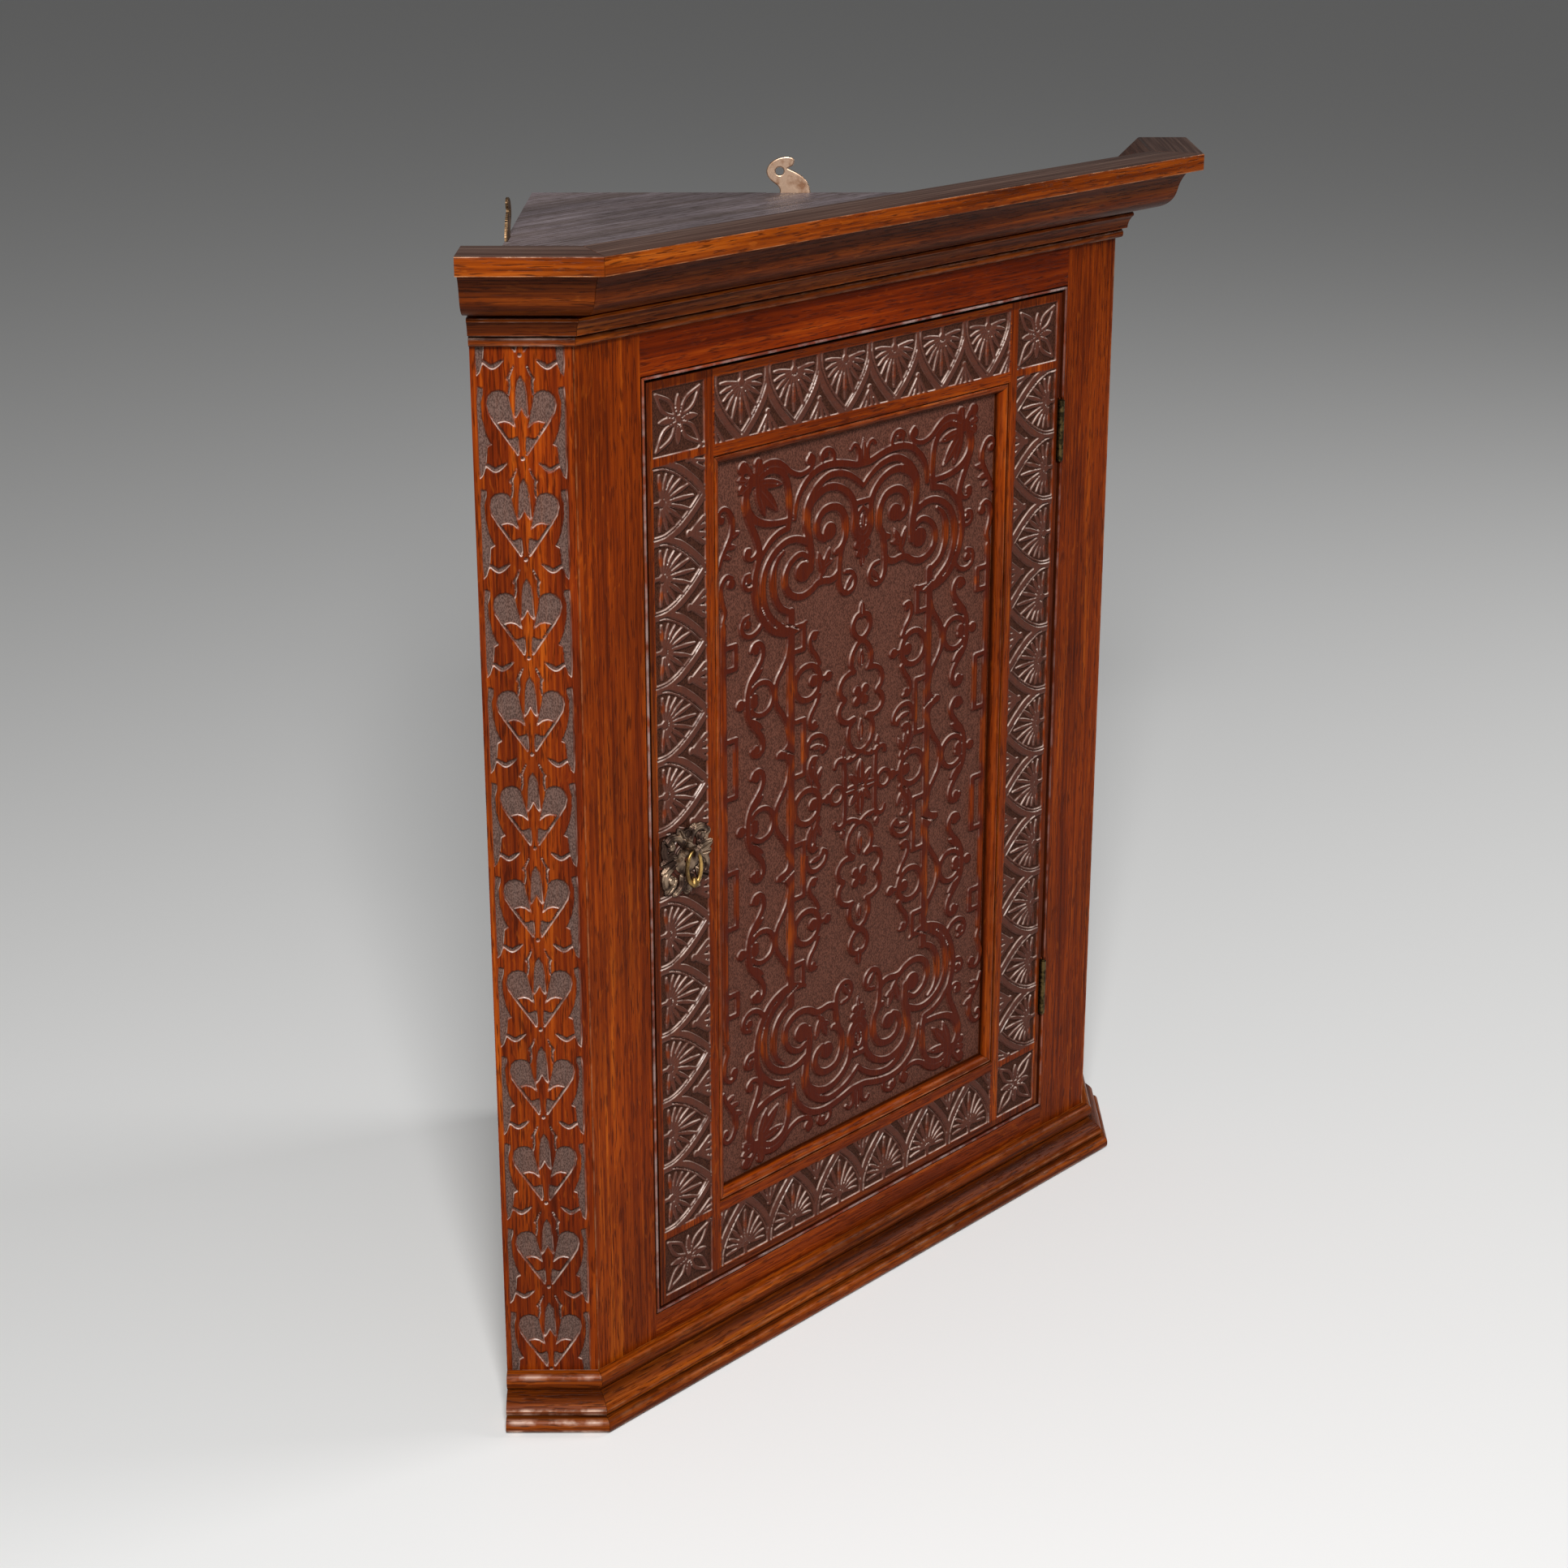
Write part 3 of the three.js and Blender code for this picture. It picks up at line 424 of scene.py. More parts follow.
# %% The panel's quarter pattern
# each row holds a band's widths and the points along its middle
PANEL_BANDS = [
    # the trunk and the arc over the inner spiral
    ([5.5, 6.5, 6, 5, 5, 4.5], [(-57, 192), (-56.5, 203), (-58, 213), (-60.5, 225), (-60.5, 235),
     (-57, 243.5), (-49, 249.5), (-38, 252.5), (-27, 250.5), (-17, 244.5), (-10.5, 236), (-8.5, 225),
     (-9.5, 215), (-6, 207), (0, 204)]),
    # the lower spiral
    ([4, 5, 5, 5], [(-61, 203), (-66, 206), (-72, 205.5), (-79, 201), (-83.5, 193.5), (-83.5, 184.5),
     (-79.5, 178), (-72.5, 174), (-64.5, 173), (-56, 175.5), (-49.5, 179.5), (-43, 180), (-36, 179),
     (-30, 180.5), (-26, 184)]),
    # the inner spiral, its stem and the curl at its foot
    ([4.5, 5.5, 5.5, 5], [(-29, 200), (-24, 202.5), (-19.5, 209), (-18.5, 218), (-20.5, 227), (-26, 234),
     (-34, 236.5), (-42, 235.5), (-48, 230.5), (-50, 223), (-48, 216.5), (-42, 213)]),
    ([4.5, 4.5, 4, 3.5, 3], [(-22, 205), (-24.5, 197), (-25.5, 189), (-26, 180), (-25, 172), (-21, 166),
     (-15, 164.5), (-9.5, 168), (-8, 174.5), (-12, 180.5), (-18.5, 182)]),
    # the arcs round the lower spiral
    ([5, 5, 5, 4], [(-61, 214.5), (-70, 218.5), (-80, 219.5), (-90, 216.5), (-99, 210), (-105, 201),
     (-107.5, 190), (-106.5, 178), (-102, 167), (-95, 159), (-87, 154)]),
    ([2.5, 5, 5, 4.5], [(-86, 212), (-92, 207), (-96, 198.5), (-96.5, 187), (-94, 176.5),
     (-88.5, 168.5), (-80, 163.5)]),
    ([4.5, 5, 5, 5, 5, 4.5, 3], [(-124, 249), (-119.5, 239), (-114.5, 229), (-111.5, 219), (-112.5, 209),
     (-115.5, 199), (-116, 188), (-113.5, 176), (-108.5, 165), (-101, 155.5), (-91, 149.5), (-80, 146.5),
     (-70, 148), (-62, 151.5)]),
    ([3.5, 3, 2.6], [(-112, 219), (-116, 214.5), (-121, 213.5), (-125, 216.5), (-124.5, 221),
     (-121, 221)]),
    ([3.5, 4.5, 4.5], [(-111.5, 210), (-106.5, 216.5), (-99.5, 223), (-91, 227.5), (-81, 229.5)]),
    # the corner shield
    ([4, 4.5, 4.8, 4.8, 4], [(-111, 273), (-101, 277), (-92, 275.5), (-85, 270.5), (-81, 262),
     (-79.5, 250), (-79.5, 238), (-81, 229.5)]),
    ([4, 4.5, 4, 3.5, 3], [(-112, 278), (-104, 282.5), (-94, 282.5), (-86, 278.5), (-78, 272),
     (-69, 268.5), (-61, 269.5), (-55.5, 273), (-54, 278), (-57.5, 281.5)]),
    ([4, 4.5, 5.5, 6.5, 5], [(-80, 235.5), (-91, 235.5), (-102, 237), (-111, 240), (-119, 245.5),
     (-123.8, 253), (-124.5, 262), (-120, 270)]),
    # the arcs over the top
    ([2.5, 4.5, 5, 5, 4.5], [(-74, 235), (-73, 244), (-69, 253.5), (-62, 261.5), (-52.5, 267.5),
     (-41, 270), (-29, 269.5), (-18, 267.2), (-8, 264.5), (0, 264)]),
    ([4, 5, 5, 4.5, 3.5], [(-62, 234), (-61, 242), (-56, 250), (-48, 257), (-38, 261.5), (-28, 261.5),
     (-17, 258.5), (-7, 252.5), (0, 246.5)]),
    ([3, 3, 2.5], [(-33, 270), (-32, 276), (-35, 281), (-41, 282.5), (-45.5, 279.5), (-44.5, 275)]),
    ([3.5, 3, 2.5], [(-5, 265), (-4.5, 272), (-6, 278), (-10, 280.5), (-13.5, 277.5)]),
    ([4, 4], [(-10, 234), (0, 234)]),
    ([3, 3.2, 3], [(0, 229.5), (-4.5, 225.5), (-6, 218.5), (-4, 212.5), (0, 209)]),
    # the scrolls down the outer edge
    ([2.5, 3.5, 4.5, 4, 2.5], [(-149, 248), (-152, 251.5), (-151.5, 255.5), (-147, 257.3), (-142, 254),
     (-138.5, 246), (-139.5, 237), (-144.5, 228.5), (-149.5, 221), (-152, 214)]),
    ([3, 3.5, 4, 3.5, 2.5], [(-139.5, 203.5), (-144.5, 205.5), (-149.5, 201.5), (-151, 193.5),
     (-149, 185), (-146.5, 178), (-149, 171)]),
    ([3.5, 3, 2.8], [(-114.5, 193.5), (-119, 190.8), (-124.5, 191.3), (-127.5, 196), (-126, 201),
     (-121.5, 202)]),
    ([3.5, 3.8, 3.2, 2.8], [(-108.5, 161), (-113, 156.3), (-120, 153.8), (-127, 156), (-130, 162),
     (-128.2, 168), (-122.5, 170)]),
    # curls between the rows
    ([3, 4, 3.5, 3], [(-60.5, 42), (-60, 50), (-55, 55.8), (-47, 56), (-40, 51.5), (-38, 44.5),
     (-42.5, 41)]),
    # the chain down the middle
    ([4, 4, 4], [(0, 144), (-6, 142.5), (-9.5, 137), (-9, 131), (-4.5, 125.5), (0, 123.5)]),
    ([4, 4, 4, 4], [(0, 122.5), (-6, 118.5), (-10.5, 111.5), (-11.3, 104), (-9, 98)]),
    ([4, 4, 4, 4, 4], [(-8, 98), (-14.5, 97.5), (-21, 94), (-24, 87.5), (-22.5, 81), (-18.5, 77),
     (-23, 73), (-25, 66.5), (-21.5, 60.5), (-15, 58), (-8, 59)]),
    ([3.5, 3.5, 3.5], [(-7, 58), (-12.5, 53.5), (-14, 46), (-12, 38), (-6.5, 32.5), (0, 30)]),
    # the square frame round the middle flower
    ([3.2, 3.5, 3.5], [(-18.5, 28), (-17.5, 19), (-17.3, 9), (-17.3, 0)]),
    ([3, 3, 3], [(-18, 26), (-10.5, 25.5), (-4.5, 27.5), (0, 30.5)]),
    ([3.5, 3.5, 3], [(-18.5, 26), (-22.5, 28.5), (-27, 27.5), (-28.5, 23.5)]),
]
# a disc's middle and radius
PANEL_DISCS = [
    (-65, 192, 8), (-36.5, 218, 7), (-127, 284, 5), (-112, 285, 4), (-129, 275.5, 3), (-128, 268.5, 3.4),
    (-117, 273, 5.5), (-58, 277.5, 3.8), (-41, 278, 2.6), (-149.5, 249, 3), (-140, 199, 3.8),
    (-122, 197.5, 2.6), (-123.5, 163.5, 3.4), (-121.8, 218, 2.4), (-43.5, 44.5, 2.5), (-19.5, 34, 2.5),
    (-12, 27, 1.8),
]
# a leaf's two tips and its width
PANEL_LEAVES = [
    ((-114, 269), (-105, 244), 8), ((-114, 269), (-92, 245), 9.5), ((-113, 270), (-87, 265), 7.5),
    ((-117, 275), (-126, 287), 5), ((-115, 275), (-111, 289), 5), ((-120, 273), (-133, 276), 4.5),
    ((-120, 270), (-131, 265), 4.5), ((-141, 234), (-131, 237.5), 4.5), ((-145, 227), (-135, 227), 4.5),
    ((-149, 222), (-140, 218.5), 4), ((0, 263), (0, 284), 5), ((0, 213), (0, 225), 5),
    ((0, 192), (0, 183), 4), ((-47, 183), (-39, 192.5), 4.5), ((-44, 186), (-49, 204), 6),
    ((-44, 188), (-36, 205), 6), ((-44, 191), (-33, 195), 5), ((-19, 167), (-10.5, 178.5), 4.5),
    ((-56, 48), (-43, 46), 4.5), ((0, 141), (0, 154), 6.5), ((0, 114), (0, 101), 5),
    ((0, 57), (0, 39), 5), ((-3, 3), (-12, 13), 6), ((-4, 0), (-17, 0), 7.5), ((0, 4), (0, 23), 9),
    ((-55, 17), (-61, 31), 4.5), ((-52, 19), (-52, 34), 4.5), ((-49, 18), (-44, 29), 4.5),
    ((-20, 31), (-19.5, 39), 4),
]
# a flower's middle, how far out its petals stand, their radius and their number
PANEL_FLOWERS = [(0, 198, 6, 3.3, 5), (0, 77, 6.5, 4, 4)]
# a tab's inner edge, the bar that it stands on, and its top and bottom
PANEL_TABS = [
    (-64, -77, 150, 130.5), (-63.5, -77, 73.5, 28.5), (-136, -148, 150.5, 132.5),
    (-136, -148, 76.5, 30.5)]
print("strokes of the quarter:", len(PANEL_BANDS), "bands and", len(PANEL_LEAVES), "leaves")

# %% [markdown]
# Three rows of rings and curls stand between the bars. The middle one lies on the panel's own
# middle line, and the other two repeat it, so one drawing serves all.

# %% The rows of rings
# how far above the panel's middle the rows stand
ROW_HEIGHTS = (0, 102)
ROW_BANDS = [
    ([4, 4, 4, 3.5], [(-124.5, -2), (-124, 8), (-120.5, 17), (-114.5, 24), (-108.8, 31.5),
     (-107.5, 39), (-111.5, 44.5), (-117, 44), (-119.5, 40)]),
    ([4, 4, 3.8, 3.8], [(-79, 37), (-81.5, 27), (-87, 18.5), (-92.8, 10), (-95, 0)]),
    ([3.5, 3.5, 3], [(-47, 13), (-50.5, 19.5), (-55.5, 26), (-57.5, 33), (-54.5, 38.5), (-49.5, 38)]),
    ([5, 4], [(-78.5, 36), (-79, 43), (-83, 48), (-91, 50.5)]),
]
ROW_DISCS = [
    (-115, 39.5, 3.4), (-131.5, 0, 4.4), (-117, 2, 4), (-53, 0, 5), (-37, 0, 4.2), (-52.2, 34.8, 2.4)]
ROW_LEAVES = [((-121, 14), (-108, 24), 5), ((-125, 0), (-131, 0), 3), ((-47, 0), (-38, 0), 4)]
# how far out a tall bar stands, its width and its top, and where the inner one is broken
INNER_BAR, OUTER_BAR = (-77.8, 7.0, 163.0), (-148.5, 5.0, 168.0)
BAR_BREAKS = (51.2, 153.5)
# the width of a leaf's vein, and how much broader than drawn the bands are cut
VEIN, STROKE = 0.9, 1.14


def draw_row(sheet, height):
    """One row of rings and curls, the same above its middle and below."""
    for flip in (1, -1):
        for widths, points in ROW_BANDS:
            sheet.band(smooth([(x, height + flip * y) for x, y in points]), STROKE * np.array(widths))
        for x, y, radius in ROW_DISCS:
            sheet.disc(x, height + flip * y, radius)
        for (ax, ay), (bx, by), width in ROW_LEAVES:
            sheet.leaf((ax, height + flip * ay), (bx, height + flip * by), width)
    # an open ring beside the outer bar, and a whole one beside the inner bar
    sheet.band(arc(-109.5, height, 13, 145, -145, 30), [4, 4.8, 4])
    sheet.band(arc(-60, height, 13.8, 0, 360, 30), [5, 5])


def draw_quarter(sheet):
    """The upper left quarter of the panel's pattern."""
    for widths, points in PANEL_BANDS:
        sheet.band(smooth(points), STROKE * np.array(widths))
    for x, y, radius in PANEL_DISCS:
        sheet.disc(x, y, radius)
    for start, end, width in PANEL_LEAVES:
        sheet.leaf(start, end, width, VEIN)
    for x, y, out, radius, count in PANEL_FLOWERS:
        first = 45 if count == 4 else 90
        for px, py in arc(x, y, out, first, first + 360, count + 1)[:-1]:
            sheet.disc(px, py, radius)
        sheet.disc(x, y, 0.8 * radius)
    for inner, outer, top, bottom in PANEL_TABS:
        sheet.band([(outer, top), (inner, top), (inner, bottom), (outer, bottom)], [4, 4.5, 4])
    for height in ROW_HEIGHTS:
        draw_row(sheet, height)
    for x, width, top in (INNER_BAR, OUTER_BAR):
        sheet.band([(x, -10), (x, top)], [width, width])
    # the small ring and leaf at the side of the middle flower
    sheet.band(arc(-27, 0, 7.2, 0, 360, 20), [3.4, 3.4])
    sheet.leaf((-34, 0), (-43, 0), 4)
    for height in BAR_BREAKS:
        sheet.band([(-88, height + 4), (-70, height - 5.5)], [1.6, 1.6], cut=True)


print("rows of rings on the whole panel:", 2 * len(ROW_HEIGHTS) - 1)

# %% [markdown]
# ### Carving the panel
# The quarter is turned over both middle lines, and the whole sheet becomes the panel's field. Behind
# the field lies a thinner tongue, which sits in the groove of the door's frame, loose, so that the
# board can swell and shrink with the weather.

# %% Carve the panel
# the grid's cell, the depth of the ground and the width of the sloping wall down to it
PANEL_STEP, PANEL_DEPTH, CARVE_WALL = 0.9, 2.4, 0.9
# how far the field stands in front of the tongue, and how much it stops short of it
FIELD_STAND, FIELD_SHORT = 3.3, 0.05


def four_ways(quarter):
    """Turns a quarter drawing over both of its inner edges."""
    quarter.d = np.hstack([quarter.d, quarter.d[:, -2::-1]])
    quarter.d = np.vstack([quarter.d[:0:-1], quarter.d])
    quarter.u = np.concatenate([quarter.u, -quarter.u[-2::-1]])
    quarter.v = np.concatenate([-quarter.v[:0:-1], quarter.v])
    return quarter


panel_low, panel_high = mm_box("door_panel")
field_low = np.array([-sight + 2 * SEAM, flat_bottom + MOULD_WIDTH + 2 * SEAM - door_middle])
panel_sheet = Sheet(field_low, (0, 0), PANEL_STEP)
panel_sheet.v = -panel_sheet.v[::-1]
draw_quarter(panel_sheet)
four_ways(panel_sheet)
panel_sheet.dulled.append((field_low, -field_low))


def on_panel(u, v, h):
    """Puts a point of the sheet on the panel's face, h above it."""
    return np.column_stack([u, panel_low[1] - h, v + door_middle])


def block(name, low, high):
    """A plain box."""
    x, y, z = np.meshgrid(*zip(low, high), indexing="ij")
    points = np.column_stack([x.ravel(), y.ravel(), z.ravel()])
    sides = [(0, 1, 3, 2), (4, 6, 7, 5), (0, 4, 5, 1), (2, 3, 7, 6), (0, 2, 6, 4), (1, 5, 7, 3)]
    return build(name, points, sides)


field = relief("field", panel_sheet, PANEL_DEPTH, CARVE_WALL, FIELD_STAND - FIELD_SHORT, on_panel)
tongue = block("tongue", (panel_low[0], panel_low[1] + FIELD_STAND, panel_low[2]), panel_high)
uncarved(tongue)
carved_panel = piece(joined("carved_panel", [field, tongue]), "door", "carved_oak", "door_panel")

# %% [markdown]
# ## The door's border
# Stiles and rails carry a row of lunettes: half moons with a double rim, filled with rays like a
# fan. One fan is drawn by a function that is told where its foot lies and which way it points, and
# the strips repeat it. Each corner has a square with an eight-pointed star of four leaves and four
# petals. The strips are sunk a little below the plain margins beside them.

# %% Drawing a lunette and a star
LUNETTE_REACH, LUNETTE_FOOT = 48.0, 27.0
# half of the rim and of the thinner line outside it, from the foot to the top of the moon
RIM = [(0, 26.9), (8, 26.6), (14, 25.2), (24, 20.3), (36, 11.5), (45, 3), (48, 0)]
ECHO = [(17, 27), (26, 23.5), (36, 16.2), (44, 9), (48, 5)]
RIM_WIDTH, ECHO_WIDTH = 5.2, 2.0
# a groove runs along the rim, a little inside its middle
RIM_GROOVE, GROOVE_SHARE = 1.7, 0.965
# the sprig between two moons: its ball, and where its four spikes end
SPRIG_FOOT, SPRIG_BALL, SPRIG_SPREAD, SPIKE_WIDTHS = 34.0, 2.0, (-9, -3.2, 3.2, 9), [1.2, 2.4]
# the fan: its ball and stem, and rays that are longest straight ahead
FAN_FOOT, FAN_BALL, FAN_STEM = 8.0, 3.0, 2.5
RAYS, RAY_SPREAD, RAY_WIDTHS = 11, 95, [1.2, 2.2, 2.8, 1.4]
RAY_START, RAY_REACH, RAY_MORE = 4.5, 20.5, 10
# the star: its margin in the square, its ball, the broad leaves' outline and the narrow ones' width
STAR_MARGIN, STAR_BALL = 1.5, 2.6
BROAD_REACH, BROAD_SWELL, BROAD_LINE = 1.28, 4.5, [1.6, 2.4, 1.6]
NARROW_REACH, NARROW_WIDTH = 0.92, 4.6


def lunette(sheet, foot, ahead):
    """A fan with its foot's middle at foot, pointing along the unit vector ahead."""
    ahead = np.array(ahead, float)
    beside = np.array([-ahead[1], ahead[0]])

    def at(a, b):
        return np.array(foot) + a * ahead + b * beside

    for side in (1, -1):
        sheet.band(smooth([at(a, side * b) for a, b in RIM]), [RIM_WIDTH, RIM_WIDTH])
        groove = smooth([at(GROOVE_SHARE * a, side * GROOVE_SHARE * b) for a, b in RIM])
        sheet.band(groove, [RIM_GROOVE, RIM_GROOVE], cut=True)
        sheet.band(smooth([at(a, side * b) for a, b in ECHO]), [ECHO_WIDTH, ECHO_WIDTH])
        sheet.disc(*at(SPRIG_FOOT, side * LUNETTE_FOOT), SPRIG_BALL)
        for spread_out in SPRIG_SPREAD:
            start = at(SPRIG_FOOT + 2, side * LUNETTE_FOOT + spread_out / 9)
            sheet.band([start, at(LUNETTE_REACH, side * LUNETTE_FOOT + spread_out)], SPIKE_WIDTHS)
    for turn in np.radians(np.linspace(-RAY_SPREAD, RAY_SPREAD, RAYS)):
        way = np.array([math.cos(turn), math.sin(turn)])
        reach = RAY_REACH + RAY_MORE * max(way[0], 0) ** 6
        ray = [at(FAN_FOOT + r * way[0], r * way[1]) for r in np.linspace(RAY_START, reach, 4)]
        sheet.band(ray, RAY_WIDTHS)
    sheet.band([at(0, 0), at(FAN_FOOT, 0)], [FAN_STEM, FAN_STEM])
    sheet.disc(*at(FAN_FOOT, 0), FAN_BALL)


def star(sheet, low, high):
    """Eight leaves from a square's middle: four broad ones to its corners and four to its sides."""
    middle = (np.array(low) + high) / 2
    reach = (np.array(high) - low) / 2 - STAR_MARGIN
    for turn in range(8):
        way = np.array([math.cos(turn * math.pi / 4), math.sin(turn * math.pi / 4)])
        diagonal = turn % 2
        far = middle + way * reach * (BROAD_REACH if diagonal else NARROW_REACH)
        if diagonal:
            beside = np.array([-way[1], way[0]])
            for side in (1, -1):
                curve = [middle + 3 * way, (middle + far) / 2 + side * BROAD_SWELL * beside, far]
                sheet.band(smooth(curve), BROAD_LINE)
        else:
            sheet.leaf(middle + 4.5 * way, middle + 0.85 * (far - middle), NARROW_WIDTH)
    sheet.disc(*middle, STAR_BALL)


print("rays in a fan:", RAYS)

# %% [markdown]
# Each stile is one relief slab as long as the door. On the hinge side its edge draws in where the
# knuckles turn, as a joiner lets a butt hinge into the arris.

# %% The stiles and rails
BORDER_STEP, BORDER_DEPTH, BORDER_WALL = 0.8, 1.7, 0.8
# a strip's inner and outer edge from the door's middle, its corner squares, the plain margin at its
# ends and the ridge between a square and the lunettes
STRIP_IN, STRIP_OUT, SQUARE, STRIP_MARGIN, RIDGE = 171.5, 221.3, 48.6, 6.3, 6.0
# the least plain wood outside a strip, and how far a rail's strip stops short of its end
STRIP_CLEAR, RAIL_INSET = 5.5, 1.5
STILE_LUNETTES, RAIL_LUNETTES = 11, 6
# how far the edge draws in at the knuckles, and how far from the edge that begins
KNUCKLE_INSET, KNUCKLE_BLEND = 1.9, 5.0

stile_back = mm_box("door_stile_left")[1][1] - face_y
knuckle_zones = [mm_box(f"hinge_{place}_pin") for place in ("lower", "upper")]
strip_bottom, strip_top = door_low[2] + STRIP_MARGIN, door_high[2] - STRIP_MARGIN


def beside_knuckles(z):
    """1 where a hinge's knuckles are, 0 elsewhere."""
    return sum(((z > low[2] - 1) & (z < high[2] + 1)).astype(float) for low, high in knuckle_zones)


def carved_strip(sheet, low, high):
    """A sunk strip, ready for its pattern."""
    sheet.oblong(low, high, cut=True)
    sheet.dulled.append((low, high))


def stile(side):
    """A stile, on the left where side is below 0: a star at each end and lunettes between."""
    outer = door_low[0] if side < 0 else door_right
    low, high = sorted((outer, side * flat_half))
    sheet = Sheet((low, door_low[2]), (high, door_high[2]), BORDER_STEP, standing=True)
    out_edge = side * min(STRIP_OUT, abs(outer) - STRIP_CLEAR)
    x0, x1 = sorted((out_edge, side * STRIP_IN))
    for z in (strip_bottom, strip_top - SQUARE):
        carved_strip(sheet, (x0, z), (x1, z + SQUARE))
        star(sheet, (x0, z), (x1, z + SQUARE))
    bottom, top = strip_bottom + SQUARE + RIDGE, strip_top - SQUARE - RIDGE
    carved_strip(sheet, (x0, bottom), (x1, top))
    pitch = (top - bottom) / STILE_LUNETTES
    for i in range(STILE_LUNETTES):
        lunette(sheet, (out_edge, bottom + (i + 0.5) * pitch), (-side, 0))

    def on_stile(u, v, h):
        x = u.copy()
        if side > 0:
            close = np.clip((u - outer + KNUCKLE_BLEND) / KNUCKLE_BLEND, 0, 1)
            level = beside_knuckles(v) * (h > -BOARD / 2)
            x -= KNUCKLE_INSET * close * close * level
        return np.column_stack([x, face_y - h, v])

    return relief(f"stile_slab_{side}", sheet, BORDER_DEPTH, BORDER_WALL, stile_back, on_stile)


def rail(place, z0, z1):
    """The top or bottom rail: one row of lunettes that stand on its outer edge."""
    sheet = Sheet((-flat_half, z0), (flat_half, z1), BORDER_STEP, standing=True)
    top = place == "top"
    low = strip_top - SQUARE if top else strip_bottom
    reach = flat_half - RAIL_INSET
    carved_strip(sheet, (-reach, low), (reach, low + SQUARE))
    pitch = 2 * reach / RAIL_LUNETTES
    for i in range(RAIL_LUNETTES):
        x = (i + 0.5 - RAIL_LUNETTES / 2) * pitch
        lunette(sheet, (x, low + SQUARE * top), (0, -1 if top else 1))

    def on_rail(u, v, h):
        return np.column_stack([u, face_y - h, v])

    return relief(f"rail_slab_{place}", sheet, BORDER_DEPTH, BORDER_WALL, stile_back, on_rail)


print("lunettes round the door:", 2 * (STILE_LUNETTES + RAIL_LUNETTES))

# %% [markdown]
# ## Mouldings
# A moulding is a profile planed along a length. The profile is written in shares of its width and
# height, with curves where the plane's iron is round. Hands and dusters round its sharp outer corners
# first, so these are eased, and each point keeps how worn it is, which the finish paints pale, partly
# as wear and partly as a painted highlight. A tight round is painted pale the same way. Each point also
# keeps how deep it lies under a straight edge laid across the profile, for the finish to darken,
# partly as wax and soot and partly as painted shade.

# %% Profiles
CURVE_STEPS = 10
# corners that turn more degrees than this are eased over so many millimetres
SHARP_CORNER, ARRIS = 40, 1.1
# but never over more than this share of a side
MOST_EASED = 0.4
# a round is painted pale by how tight it is, beyond what is gentle, up to a limit: partly wear, partly a
# painted highlight
ROUND_WEAR, GENTLE, MOST_ROUND_WEAR = 2.2, 0.13, 0.8


def traced(shares, width, height):
    """An outline in millimetres from shares of its width and height. Two numbers are a corner, and
    four are a curve: what it bends towards, and where it ends."""
    points = [np.array(shares[0], float)]
    for step in shares[1:]:
        end = np.array(step[-2:], float)
        if len(step) == 4:
            start, bend = points[-1], np.array(step[:2], float)
            for t in np.linspace(0, 1, CURVE_STEPS + 1)[1:]:
                points.append((1 - t) ** 2 * start + 2 * t * (1 - t) * bend + t * t * end)
        else:
            points.append(end)
    return np.array(points) * (width, height)


def eased(profile):
    """The profile with its sharp outer corners rounded off, and how worn each of its points is."""
    before, after = profile - np.roll(profile, 1, 0), np.roll(profile, -1, 0) - profile
    cross = before[:, 0] * after[:, 1] - before[:, 1] * after[:, 0]
    bend = np.degrees(np.arctan2(cross, np.sum(before * after, 1)))
    order = np.sign(bend.sum())
    points, worn = [], []
    for here, a, b, turn in zip(profile, before, after, order * bend):
        a_long, b_long = np.hypot(*a), np.hypot(*b)
        if turn < SHARP_CORNER:
            tightness = 2 * math.radians(turn) / (a_long + b_long)
            points.append(here)
            worn.append(min(max(ROUND_WEAR * (tightness - GENTLE), 0.0), MOST_ROUND_WEAR))
            continue
        ease = min(ARRIS, MOST_EASED * a_long, MOST_EASED * b_long)
        start, end = here - ease * a / a_long, here + ease * b / b_long
        points += [start, (start + 2 * here + end) / 4, end]
        worn += [0.0, 1.0, 0.0]
    return np.array(points), np.array(worn)


def hollows(profile):
    """How far each point of a profile lies under a straight edge laid across it."""
    turn = np.linspace(0, 2 * np.pi, 36, endpoint=False)
    reach = profile @ np.array([np.cos(turn), np.sin(turn)])
    return (reach.max(0) - reach).min(1)


three_corners = traced([(0, 0), (1, 0), (1, 1)], 9, 9)
print("three sharp corners are eased into", len(eased(three_corners)[0]), "points")

# %% [markdown]
# ### A planed length
# The profile's two rings are cut off at a slope, so that two lengths meet in a mitre. Drawn this way,
# a crown moulding and the small moulding inside the door use the same function.

# %% Planing a length
def moulding(name, profile, origin, out, up, length, slopes, gap=mitre_gap, wear_and_highlight=1.0, soot_and_shade=1.0):
    """A planed length. Each end slopes by its slope for each unit that the profile stands out. The
    last two say how much its edges are painted pale, as wear and as a painted highlight, and how much
    its hollows are darkened, as soot and as painted shade, beside the usual."""
    profile, worn = eased(profile)
    out, up, origin = (np.array(v, float) for v in (out, up, origin))
    along = np.cross(out, up)
    rings = []
    for base, slope, trim in ((0, slopes[0], gap), (length, slopes[1], -gap)):
        run = base + trim + profile[:, 0] * slope
        rings.append(origin + profile @ (out, up) + np.outer(run, along))
    count = len(profile)
    first = np.arange(count)
    after = np.roll(first, -1)
    faces = [*np.stack([first, after, after + count, first + count], -1), first[::-1], first + count]
    (x, y), (next_x, next_y) = profile.T, np.roll(profile, -1, 0).T
    order = 1 if np.sum(x * next_y - next_x * y) > 0 else -1
    made = build(name, np.vstack(rings), [face[::order] for face in faces])
    for label, values in (("worn", wear_and_highlight * worn), ("hollow", soot_and_shade * hollows(profile))):
        made.data.attributes.new(label, "FLOAT", "POINT").data.foreach_set("value", np.tile(values, 2))
    return made


print("the case's mitres are cut at", round(math.degrees(math.atan(MITRE)), 1), "degrees")

